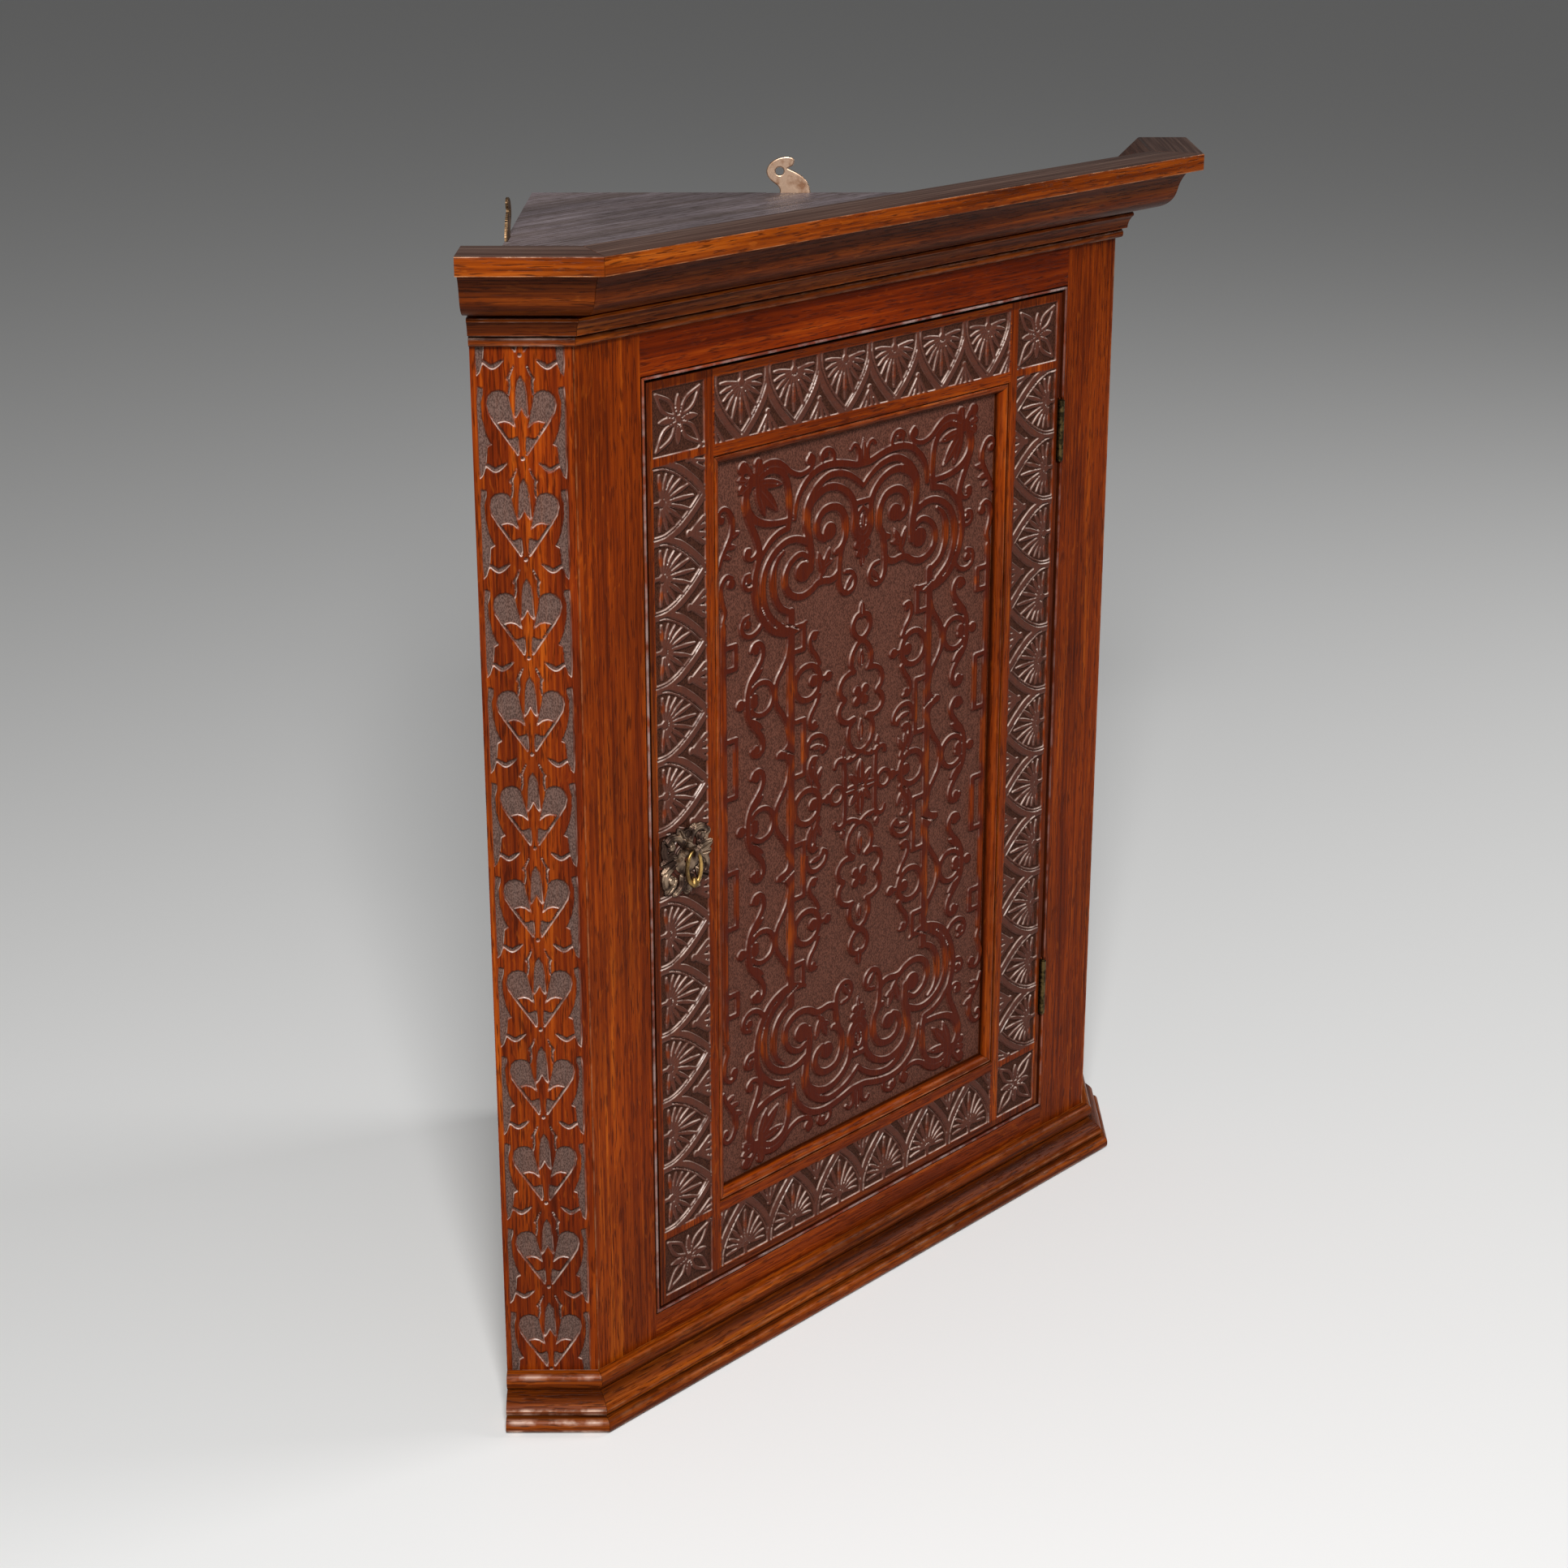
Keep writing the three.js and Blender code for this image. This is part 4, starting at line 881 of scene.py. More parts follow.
# %% [markdown]
# ### The door's frame
# The frame's inner edge carries an ovolo, a quarter round between two small steps, mitred at the four
# corners. Behind it a flat lip closes the groove that holds the panel. Each stile and rail is joined
# from its carved slab, its ovolo and its lip, because on the real door they are one piece of wood.

# %% Frame the door
OVOLO = [(0, -1), (1, -1), (1, -0.8), (0.9, -0.12, 0.3, -0.06), (0.2, -0.08), (0.18, -0.2),
         (0.08, -0.2), (0.06, -0.03), (0, -0.03)]
LIP = [(0, 0), (1, 0), (1, 1), (0, 1)]
FRONT = (0, -1, 0)


def linings(label, profile, half_width, bottom, top, y, wear_and_highlight=(1.0, 1.0, 1.0, 1.0)):
    """Four lengths mitred into a rectangle, with the wear of the left, right, top and bottom, which also
    sets how much painted highlight each gets.
    """
    wide, high = 2 * half_width, top - bottom
    places = {
        "left": ((-half_width, y, top), (1, 0, 0), high),
        "right": ((half_width, y, bottom), (-1, 0, 0), high),
        "top": ((half_width, y, top), (0, 0, -1), wide),
        "bottom": ((-half_width, y, bottom), (0, 0, 1), wide),
    }
    return {
        place: moulding(f"{label}_{place}", profile, origin, out, FRONT, length, (1, -1), wear_and_highlight=share)
        for (place, (origin, out, length)), share in zip(places.items(), wear_and_highlight)
    }


# how worn the left, right, top and bottom lengths are; on the beads this also paints a highlight on
# the nose
OVOLO_WEAR, BEAD_WEAR_AND_HIGHLIGHT = (0.3, 0.3, 0.3, 0.8), (0.9, 0.3, 0.9, 0.8)
ovolo_profile = traced(OVOLO, MOULD_WIDTH, MOULD_DEPTH)
ovolo = linings("ovolo", ovolo_profile, flat_half, flat_bottom, flat_top, face_y, OVOLO_WEAR)
lip_profile = traced(LIP, MOULD_WIDTH, LIP_BACK - stile_back) - (0, LIP_BACK)
lips = linings("lip", lip_profile, flat_half, flat_bottom, flat_top, face_y)
members = {
    "left": (stile(-1), "door_stile_left"),
    "right": (stile(1), "door_stile_right"),
    "top": (rail("top", flat_top, door_high[2]), "door_rail_top"),
    "bottom": (rail("bottom", door_low[2], flat_bottom), "door_rail_bottom"),
}
door_members = {}
for place, (slab, solid) in members.items():
    uncarved(ovolo[place], lips[place])
    whole = joined(f"carved_{solid}", [slab, ovolo[place], lips[place]])
    door_members[place] = piece(whole, "door", "carved_oak", solid)
print("door frame:", sorted(door_members))

# %% [markdown]
# A bead lines the opening that the door shuts into. A bead plane leaves a round nose with a narrow
# sunk line, the quirk, on its outer side, and the two dark lines beside the nose hide the joints.
# Where a hinge's knuckles turn, the nose is cut away and a flat strip is left.

# %% Run the bead round the opening
# both profiles are in millimetres, from the opening's edge and the frame's face
BEAD = [(0, -18), (3.5, -18), (3.5, -1.5), (3.2, -0.6), (3.2, 1.1, 2.05, 1.1), (0.9, 1.1, 0.9, -0.6),
        (0.9, -1.6), (0, -1.6)]
FLAT_STRIP = [(0, -18), (3.5, -18), (3.5, -1.9), (1.9, -1.9), (1.9, -0.1), (0, -0.1)]
KNUCKLE_CLEAR = 0.4
open_half = -mm_box("opening_bead_left")[0][0]
open_bottom, open_top = mm_box("opening_bead_bottom")[0][2], mm_box("opening_bead_top")[1][2]
bead_profile, strip_profile = traced(BEAD, 1, 1), np.array(FLAT_STRIP, float)
beads = linings("bead", bead_profile, open_half, open_bottom, open_top, face_y, BEAD_WEAR_AND_HIGHLIGHT)
bpy.data.objects.remove(beads.pop("right"))
cuts = [open_bottom]
for low, high in knuckle_zones:
    cuts += [low[2] - KNUCKLE_CLEAR, high[2] + KNUCKLE_CLEAR]
cuts.append(open_top)
lengths = []
for i, (z0, z1) in enumerate(zip(cuts, cuts[1:])):
    shape = strip_profile if i % 2 else bead_profile
    slopes = (float(i == 0), -float(i == len(cuts) - 2))
    start = (open_half, face_y, z0)
    lengths.append(moulding(
        f"bead_length_{i}", shape, start, (-1, 0, 0), FRONT, z1 - z0, slopes, 0, BEAD_WEAR_AND_HIGHLIGHT[1]))
beads["right"] = joined("bead_right", lengths)
for place, made in beads.items():
    made.name = f"planed_bead_{place}"
    piece(made, "case", "oak", f"opening_bead_{place}")
print("bead lengths:", len(beads), "with", len(lengths), "parts on the hinge side")

# %% [markdown]
# ## The canted sides
# The two boards beside the front turn the corner towards the walls. Each is carved with one motif
# that climbs from foot to top: a sunk heart that holds a trefoil leaf, with a pointed lens above it
# between two straps. Here the pattern is sunk and the board's face stays, so the sheet starts as
# standing wood and the shapes are cut from it.

# %% Carve the canted sides
CANT_STEP, CANT_DEPTH = 0.9, 2.0
# how far apart the hearts stand, how high the top whole one's point is, and how many stand from there
# down. One more above them is cut off by the board's top
CANT_PITCH, CANT_FIRST, HEARTS = 71.3, 753.5, 12
# outlines of the left half, measured from the heart's point
HEART_LOBE = [(-3.8, 22), (-5.4, 30), (-7.3, 38), (-8.4, 44.5), (-11, 47.4), (-15, 48.5), (-19.5, 47.4),
              (-22.8, 44), (-24, 38.5), (-22.6, 32.5), (-17.8, 24.6), (-15.2, 25.8), (-11.5, 26.6),
              (-8.2, 25.6), (-5.6, 23.4)]
HEART_FOOT = [(-10.6, 15.2), (-7, 14.8), (-2.4, 16.8), (-1.8, 6), (-3, 3.6)]
HALF_LENS = [(0, 59), (-2.8, 54), (-4, 47), (-4.4, 38), (-4.8, 28), (-2.2, 31), (0, 35.5)]
EDGE_LEAF = [(-29.5, 51), (-25.2, 50), (-25.4, 46), (-27, 40), (-26.6, 30), (-24.6, 20), (-22, 13.4),
             (-20.4, 10.8), (-23.6, 9), (-24.2, 2), (-24.8, -4), (-27, -11), (-29.4, -13.5),
             (-30.2, -5), (-30.2, 20), (-30.2, 40)]
WING = [(-28.8, -3.2), (-24.5, -3.6), (-19, -7), (-15.5, -5.4), (-11, -2.2)]
STEM = [(-4.5, -6.5), (-8, -14), (-7.6, -20), (-8.3, -26)]
HEART_SIDE = [(-18.5, 27.5), (-3, 4)]
STEM_DROP, HEART_TIP = (-8.4, -15), (0, 1)


def cant_motif(sheet, middle, z):
    """One heart with its leaf, lens, wings and side leaves. z is the heart's point."""

    def at(points, side=1):
        return [(middle + side * x, z + y) for x, y in points]

    for side in (1, -1):
        for outline in (HEART_LOBE, HEART_FOOT, EDGE_LEAF):
            sheet.area(at(outline, side), cut=True)
        sheet.band(at(HEART_SIDE, side), [2.2, 1.8], cut=True)
        sheet.band(smooth(at(WING, side)), [2.4, 2.6, 3.4, 3.4, 1.2], cut=True)
        sheet.band(at(STEM, side), [1.2, 2.2, 1.4], cut=True)
        sheet.disc(*at([STEM_DROP], side)[0], 1.4, cut=True)
    right_lens = [(-x, y) for x, y in HALF_LENS[-2:0:-1]]
    sheet.area(at(HALF_LENS + right_lens), cut=True)
    sheet.disc(*at([HEART_TIP])[0], 1.5, cut=True)


def plan(side, inward, back):
    """A point of the plan: inward from a canted face, and back along it from the arris."""
    return np.stack(np.broadcast_arrays(
        side * (half + (back - inward) * ROOT), face_y + (inward + back) * ROOT), -1)


def cant_sheet():
    """The hearts one above the other. One sheet serves both sides."""
    sheet = Sheet((mitre_gap, 0), (CANT_WIDTH, case_top), CANT_STEP, standing=True)
    middle = CANT_WIDTH / 2 + 1
    for i in range(-1, HEARTS):
        cant_motif(sheet, middle, CANT_FIRST - i * CANT_PITCH)
    return sheet


def cant(side, sheet):
    """A canted board, mitred to the stile beside it."""
    def on_cant(u, v, h):
        share = (CANT_WIDTH - u) / (CANT_WIDTH - mitre_gap)
        point = plan(side, -h, u - h * MITRE * share)
        return np.column_stack([point, v])

    name = "left" if side < 0 else "right"
    slab = relief(f"carved_cant_{name}", sheet, CANT_DEPTH, CARVE_WALL, BOARD, on_cant)
    return piece(slab, "case", "carved_oak", f"cant_panel_{name}")


shared_cant = cant_sheet()
cants = [cant(side, shared_cant) for side in (-1, 1)]
print("hearts are", CANT_PITCH, "mm apart")

# %% [markdown]
# ## Mouldings round the case
# The crown, the small moulding under it and the base moulding each run across the front and return
# over the canted sides to the wall, mitred at the arrises. The left return of the base faces the lamp,
# so its edges and rounds are painted paler than the rest, partly wear and partly a painted highlight.
# The small moulding under the crown has its hollows painted darker than the others, partly soot and
# partly painted shade under the crown.

# %% Run the case mouldings
CROWN = [(-0.15, 0), (-0.15, 0.26), (0.38, 1), (1, 1), (1, 0.71), (0.83, 0.71), (0.81, 0.66),
         (0.735, 0.52, 0.71, 0.36), (0.66, 0.02, 0.36, 0)]
BED = [(0, 0), (0.25, 0), (0.44, 0, 0.44, 0.16), (0.44, 0.32, 0.25, 0.32), (0.2, 0.38),
       (0.66, 0.38), (0.7, 0.72, 1, 0.88), (1, 1), (0, 1)]
BASE = [(0, 0), (0.82, 0), (1, 0, 1, 0.12), (1, 0.25, 0.8, 0.265), (0.64, 0.265),
        (0.78, 0.3, 0.77, 0.4), (0.75, 0.48, 0.38, 0.61), (0.17, 0.64), (0.36, 0.7, 0.36, 0.84),
        (0.36, 0.98, 0.1, 1), (0, 1)]
UP = (0, 0, 1)
# each moulding's profile, how far it stands out, its wear and painted highlight, with that of the left
# return second, and its soot and painted shade
MOULDINGS = {
    "crown": (CROWN, 65.0, (0.7, 1.1), 1.0),
    "bed_mould": (BED, 13.5, (0.25, 0.4), 2.5),
    "base_mould": (BASE, 23.4, (0.8, 3.0), 1.0),
}
case_mouldings = []
for label, (shares, projection, wear_and_highlight, soot_and_shade) in MOULDINGS.items():
    low, high = mm_box(f"{label}_front")
    profile = traced(shares, projection, high[2] - low[2])
    runs = {
        "front": (plan(1, 0, 0), (0, -1, 0), FACE_WIDTH, (-MITRE, MITRE)),
        "left": (plan(-1, 0, 0), (-ROOT, -ROOT, 0), CANT_WIDTH, (-MITRE, 0)),
        "right": (plan(1, 0, CANT_WIDTH), (ROOT, -ROOT, 0), CANT_WIDTH, (0, MITRE)),
    }
    for place, (start, out, length, slopes) in runs.items():
        solid = f"{label}_{place}"
        run = moulding(
            f"planed_{solid}", profile, (*start, low[2]), out, UP, length, slopes,
            wear_and_highlight=wear_and_highlight[place == "left"], soot_and_shade=soot_and_shade)
        case_mouldings.append(piece(run, "case", "oak", solid))
print("case mouldings:", len(case_mouldings))

# %% [markdown]
# ## Brass plates
# The handle's back plate is a brass casting, and the two hanging plates are sawn from sheet. All
# three are flat behind, rounded in front and pierced through, so one function serves them. The same
# kind of sheet draws them, but now only the cells inside the outline are kept, front and back, and a
# wall joins them all round, holes included.

# %% Casting helper
def casting(name, sheet, height, place):
    """A flat-backed casting over the inside of the sheet. height gives its front at each point."""
    U, V, d, _ = settle(sheet, (0,))
    grid = np.arange(d.size).reshape(d.shape)
    cells = np.stack([grid[:-1, :-1], grid[:-1, 1:], grid[1:, 1:], grid[1:, :-1]], -1)
    cells = cells[(d.ravel()[cells] <= 1e-9).all(-1)]
    edges = np.concatenate([np.stack([cells[:, i], cells[:, (i + 1) % 4]], -1) for i in range(4)])
    there = set(map(tuple, edges))
    rim = np.array([(a, b) for a, b in there if (b, a) not in there])
    kept = np.zeros(d.size, bool)
    kept[cells.ravel()] = True
    number = np.cumsum(kept) - 1
    u, v = U.ravel()[kept], V.ravel()[kept]
    front = place(u, v, height(u, v, d.ravel()[kept]))
    back = place(u, v, np.zeros(len(u)))
    cells, rim, count = number[cells], number[rim], len(u)
    across = front[cells[0, 1]] - front[cells[0, 0]]
    up = front[cells[0, 3]] - front[cells[0, 0]]
    order = 1 if np.cross(across, up) @ (front[cells[0, 0]] - back[cells[0, 0]]) > 0 else -1
    wall = np.stack([rim[:, 1], rim[:, 0], rim[:, 0] + count, rim[:, 1] + count], -1)
    faces = [face[::order] for face in (*cells, *(cells[:, ::-1] + count), *wall)]
    made = build(name, np.vstack([front, back]), faces, sharp=50)
    print(name, "has", len(faces), "faces")
    return made


def domed(rim_height, lift, run):
    """A rounded front: it rises from rim_height by lift within run of the edge."""
    def height(u, v, d):
        t = np.clip(-d / run, 0, 1)
        return rim_height + lift * np.sqrt(1 - (1 - t) ** 2)
    return height


middle_height = float(domed(1, 1, 2)(0, 0, -2))
print("a rim of 1 mm that rises by 1 mm is", round(middle_height, 1), "mm thick in the middle")

# %% [markdown]
# The back plate is a spray of leaves and scrolls round a keyhole, with two round bosses above. Its
# drop hangs from a stud by a loose eye, so that it can be lifted and pulled.

# %% Handle plate
handle_low, handle_high = mm_box("handle_plate")
handle_middle = (handle_low + handle_high) / 2
stud_low, stud_high = mm_box("handle_stud")
stud_rise = (stud_low[2] + stud_high[2]) / 2 - handle_middle[2]
PLATE_STEP = 0.3
PLATE_FLAT = handle_high[1] - handle_low[1]
# how far up and down the pins stand, the ears round them and their bores
PLATE_PIN, PIN_EAR, PIN_BORE = 21.0, 4.2, 2.5
# the disc behind the drop, the keyhole's round and how far its slot goes down
BACK_DISC, KEY_ROUND, KEY_SLOT = 12, 2.2, 5.6
# the thin web at its rim, and the leaves raised on it
WEB_RIM, WEB_SPARE, WEB_RUN, LEAF_LIFT, LEAF_RUN = 0.9, 1.6, 1.6, 1.9, 2.0
# how far round the stud and the pins the plate is flat
STUD_FLAT, PIN_FLAT = 6, 4
PLATE_SCROLLS = [
    ([3, 4, 4, 3.4], [(3, 13), (6, 20), (13, 23), (19, 19), (18, 12), (13, 11)]),
    ([3, 4, 4, 3], [(-3, 13), (-9, 20), (-17, 21), (-22, 14), (-20, 7), (-14, 8)]),
    ([3, 4.4, 4, 3], [(-6, 2), (-14, -1), (-21, -7), (-21, -15), (-15, -18), (-12, -13)]),
    ([3, 4.4, 4, 3], [(6, 2), (14, 1), (20, -5), (19, -13), (13, -15), (11, -10)]),
    ([2.6, 3.6, 3], [(-5, -12), (-6, -20), (-12, -24)]),
    ([2.6, 3.6, 3], [(5, -12), (6, -20), (11, -23)]),
]
PLATE_LEAVES = [
    ((10, 4), (25.5, 8), 7), ((12, 2), (24, 1), 5.5), ((-10, 5), (-25, 3), 7), ((-9, 2), (-24, -4), 6),
    ((-2, 15), (-8, 26), 6), ((2, 15), (8, 26), 6), ((0, -14), (0, -26.5), 7),
    ((-14, -16), (-21, -21), 6), ((13, -14), (21, -18), 6), ((-18, 14), (-23, 20), 5),
    ((17, 16), (23, 18), 5),
]
PLATE_BOSSES = [(4.5, 20.5, 3.6), (14, 16, 3.4), (-15, 14.5, 3), (-16, -12, 3), (14.5, -9.5, 2.8)]


def foliage():
    """The leaves, scrolls and bosses of the back plate, from its middle."""
    sheet = Sheet((-26, -27), (26, 27), PLATE_STEP)
    for widths, points in PLATE_SCROLLS:
        sheet.band(smooth(points), widths)
    for start, end, width in PLATE_LEAVES:
        sheet.leaf(start, end, width, 0.5)
    for x, y, radius in PLATE_BOSSES:
        sheet.disc(x, y, radius)
    return sheet


def handle_casting():
    """The back plate: a web a millimetre wider than its leaves, with the leaves raised on it."""
    leaves, outline = foliage(), foliage()
    outline.d -= 1.0
    outline.area(arc(0, 1, BACK_DISC, 0, 360, 40))
    for radius, cut in ((PIN_EAR, False), (PIN_BORE, True)):
        for z in (-PLATE_PIN, PLATE_PIN):
            outline.disc(0, z, radius, cut)
    outline.disc(0, 0, KEY_ROUND, cut=True)
    outline.band([(0, 0), (0, -KEY_SLOT)], [2, 2], cut=True)

    def nearest(places, line):
        """The number of the grid line nearest to each place."""
        return np.clip(np.round((places - line[0]) / leaves.step), 0, len(line) - 1).astype(int)

    def height(u, v, d):
        beside = leaves.d[nearest(v, leaves.v), nearest(u, leaves.u)]
        raised = domed(0, LEAF_LIFT, LEAF_RUN)(u, v, beside)
        near_stud = np.hypot(u, v - stud_rise) < STUD_FLAT
        near_pin = np.minimum(np.hypot(u, v - PLATE_PIN), np.hypot(u, v + PLATE_PIN)) < PIN_FLAT
        level = domed(WEB_RIM, PLATE_FLAT - WEB_SPARE, WEB_RUN)(u, v, d)
        return np.where(near_stud | near_pin, PLATE_FLAT - 0.1, level + raised)

    def on_plate(u, v, h):
        return np.column_stack([u + handle_middle[0], handle_high[1] - h, v + handle_middle[2]])

    return casting("cast_handle_plate", outline, height, on_plate)


cast_plate = piece(handle_casting(), "door", "dark_brass", "handle_plate")

# %% [markdown]
# The drop is bent from rod and ends in a turned bulb. A tube along a line of points makes the ring,
# thicker towards its foot where the bulb hangs.

# %% The drop
def tube(name, path, radii, around=16, closed=False):
    """A round bar along path, with a radius at each point."""
    path = np.asarray(path, float)
    ahead = np.roll(path, -1, 0) - np.roll(path, 1, 0)
    if not closed:
        ahead[0], ahead[-1] = path[1] - path[0], path[-1] - path[-2]
    ahead /= np.linalg.norm(ahead, axis=1)[:, None]
    steady = np.array([1.0, 0, 0]) if abs(ahead[0][0]) < 0.5 else np.array([0, 1.0, 0])
    side = np.cross(ahead, steady)
    side /= np.linalg.norm(side, axis=1)[:, None]
    other = np.cross(ahead, side)
    turn = np.linspace(0, 2 * np.pi, around, endpoint=False)
    ring = np.cos(turn)[None, :, None] * side[:, None] + np.sin(turn)[None, :, None] * other[:, None]
    points = (path[:, None] + np.asarray(radii)[:, None, None] * ring).reshape(-1, 3)
    count = len(path) - (0 if closed else 1)
    faces = []
    for i in range(count):
        a, b = i * around, ((i + 1) % len(path)) * around
        for k in range(around):
            n = (k + 1) % around
            faces.append((a + k, a + n, b + n, b + k))
    if not closed:
        faces += [tuple(range(around))[::-1], tuple(len(points) - around + k for k in range(around))]
    return build(name, points, faces, sharp=50)


def turned(name, start, axis, profile, around=24):
    """A lathe-turned piece. The profile gives distance along the axis and radius."""
    axis = np.array(axis, float)
    path = [np.array(start, float) + axis * distance for distance, _ in profile]
    return tube(name, path, [max(radius, 0.02) for _, radius in profile], around)


drop_low, drop_high = mm_box("handle_drop")
DROP_TUBE, DROP_SWELL, DROP_HALF = 1.35, 0.35, 7.0
BULB_RADIUS, BULB_SINK, RING_STEPS = 3.5, 2.9, 64
BULB = [(-2.4, 0), (-2.2, 1.6), (-1, 2.1), (0, 2.4), (1.2, 3.2), (2.6, BULB_RADIUS), (4.2, 3.1),
        (5.4, 2), (6, 0.9), (6.4, 0)]


def drop_ring():
    """The long ring with its bulb, in one piece."""
    middle = handle_middle[0]
    ring_y = (drop_low[1] + drop_high[1]) / 2
    top, bottom = drop_high[2] - DROP_TUBE, drop_low[2] + BULB_RADIUS
    turn = np.linspace(0, 2 * np.pi, RING_STEPS, endpoint=False)
    path = np.column_stack([
        middle + DROP_HALF * np.sin(turn), np.full(RING_STEPS, ring_y),
        (top + bottom) / 2 + (top - bottom) / 2 * np.cos(turn)])
    radii = DROP_TUBE * (1 + DROP_SWELL * (1 - np.cos(turn)) / 2)
    ring = tube("drop_ring", path, radii, 14, closed=True)
    bulb = turned("drop_bulb", (middle, ring_y, bottom + BULB_SINK), (0, 0, -1), BULB)
    return joined("drop_handle", [ring, bulb])


drop = piece(drop_ring(), "drop", "dark_brass", "handle_drop")
print("the drop is", round(float(drop_high[2] - drop_low[2]), 1), "mm long")

# %% [markdown]
# Each hanging plate is sawn from thin brass: a tail that is let into the back of the cupboard, and
# a pierced S-shaped top that takes a nail or hook in the wall.

# %% Hanging plates
HANGER = [(0.5, 0), (0.48, 0.4, 0.12, 0.6), (-0.02, 0.68), (0.1, 0.76), (0.2, 0.98, 0, 1),
          (-0.22, 1.02, -0.4, 0.84), (-0.62, 0.56, -0.36, 0.3), (-0.16, 0.14, -0.2, 0)]
HANGER_WIDTH, HANGER_RISE, HANGER_TAIL, HANGER_THICK = 37.0, 30.0, 34.0, 2.2
HANGER_STEP, TAIL_HALF = 0.4, 0.3 * HANGER_WIDTH
# how far from the corner of the room the plates stand
HANGER_FROM_APEX = 215.0
HANGER_HOLE = (-0.2 * HANGER_WIDTH, 0.6 * HANGER_RISE, 3.4)
SCREW_HOLES, SCREW_BORE = (0.75, 0.25), 2.5
wall_length = FACE_WIDTH * ROOT + CANT_WIDTH
board_top = mm_box("top_board")[1][2]


def hanging_plate(side):
    """One plate, standing on the left wall or the right one."""
    sheet = Sheet((-24, -HANGER_TAIL), (24, HANGER_RISE + 1), HANGER_STEP)
    outline = traced(HANGER, HANGER_WIDTH, HANGER_RISE)
    outline = np.vstack([outline, (-TAIL_HALF, -HANGER_TAIL), (TAIL_HALF, -HANGER_TAIL)])
    sheet.area(outline)
    sheet.disc(*HANGER_HOLE, cut=True)
    for share in SCREW_HOLES:
        sheet.disc(0, -share * HANGER_TAIL, SCREW_BORE, cut=True)
    middle = wall_length - HANGER_FROM_APEX

    def on_wall(u, v, h):
        point = plan(side, middle - u, CANT_WIDTH - h)
        return np.column_stack([point, board_top + v])

    name = "left" if side < 0 else "right"
    plate = casting(f"sawn_hanging_plate_{name}", sheet, domed(HANGER_THICK - 0.6, 0.6, 1.0), on_wall)
    return piece(plate, "case", "brass", f"hanging_plate_{name}")


hangers = [hanging_plate(side) for side in (-1, 1)]

# %% [markdown]
# ## Screws
# A butt hinge's leaves are let into the wood and held by three countersunk screws each, and the
# lock case by four. A head is a low disc with its slot cut through, and no two slots end up level,
# because a joiner stops when the screw is tight.

# %% Screw the hinges and the lock
HEAD_RADIUS, SLOT_WIDTH, HEAD_HEIGHT, SEAT, HEAD_STEP = 2.1, 0.7, 0.2, 0.1, 0.2


def screw_heads(name, spots, out, across, body, slot):
    """Slotted heads on a flat face. out points off the face and across lies in it."""
    out, across = np.array(out, float), np.array(across, float)
    beside = np.cross(out, across)
    heads = []
    for i, spot in enumerate(spots):
        sheet = Sheet((-HEAD_RADIUS - 0.4,) * 2, (HEAD_RADIUS + 0.4,) * 2, HEAD_STEP)
        sheet.disc(0, 0, HEAD_RADIUS)
        way = np.array([math.cos(1 + 2.4 * i), math.sin(1 + 2.4 * i)]) * 2 * HEAD_RADIUS
        sheet.band([-way, way], [SLOT_WIDTH, SLOT_WIDTH], cut=True)

        def on_face(u, v, h, spot=np.array(spot, float)):
            return spot + np.outer(u, across) + np.outer(v, beside) + np.outer(h - SEAT, out)

        heads.append(casting(f"{name}_{i}", sheet, domed(HEAD_HEIGHT, SEAT, 1.0), on_face))
    return piece(joined(name, heads), body, slot)


# the face of each leaf, from the cupboard's middle, the body it moves with and the way it faces
LEAVES = {"frame": ("case", 227.3, -1), "door": ("door", 226.8, 1)}
LEAF_MIDDLE, SCREW_RISE = -154.2, 17.0
LOCK_ACROSS, LOCK_UP = 15, 10
screws = []
for place in ("lower", "upper"):
    low, high = mm_box(f"hinge_{place}_frame_leaf")
    middle_z = (low[2] + high[2]) / 2
    for leaf, (body, x, way) in LEAVES.items():
        spots = [(x, LEAF_MIDDLE, middle_z + rise) for rise in (-SCREW_RISE, 0, SCREW_RISE)]
        name = f"hinge_{place}_{leaf}_screws"
        screws.append(screw_heads(name, spots, (way, 0, 0), (0, 1, 0), body, "brass"))
low, high = mm_box("lock_case")
lock_x, lock_z = (low[0] + high[0]) / 2, (low[2] + high[2]) / 2
lock_spots = [
    (lock_x + LOCK_ACROSS * i, high[1], lock_z + LOCK_UP * j) for i in (-1, 1) for j in (-1, 1)]
lock_screws = screw_heads("lock_case_screws", lock_spots, (0, 1, 0), (1, 0, 0), "door", "steel")
print("screw heads:", 3 * len(screws) + len(lock_spots))

# %% [markdown]
# ## Materials
# A node material is a small recipe. One function adds a node of any kind, sets what it needs, links
# its inputs and gives back the output that the next node takes, and every finish below is built with
# it. Colours are written as sRGB hex, as a paint program shows them, and turned into the linear
# values that light is worked out in.

# %% Colour and node helpers
def linear(code):
    """An sRGB hex colour as linear red, green, blue and alpha."""
    parts = [int(code[i:i + 2], 16) / 255 for i in (1, 3, 5)]
    return [c / 12.92 if c <= 0.04045 else ((c + 0.055) / 1.055) ** 2.4 for c in parts] + [1.0]


def grey(value):
    """A neutral colour, already linear."""
    return (value, value, value, 1.0)


def empty_tree(owner):
    """The node tree of a material or a world, with nothing in it."""
    owner.use_nodes = True
    owner.node_tree.nodes.clear()
    return owner.node_tree


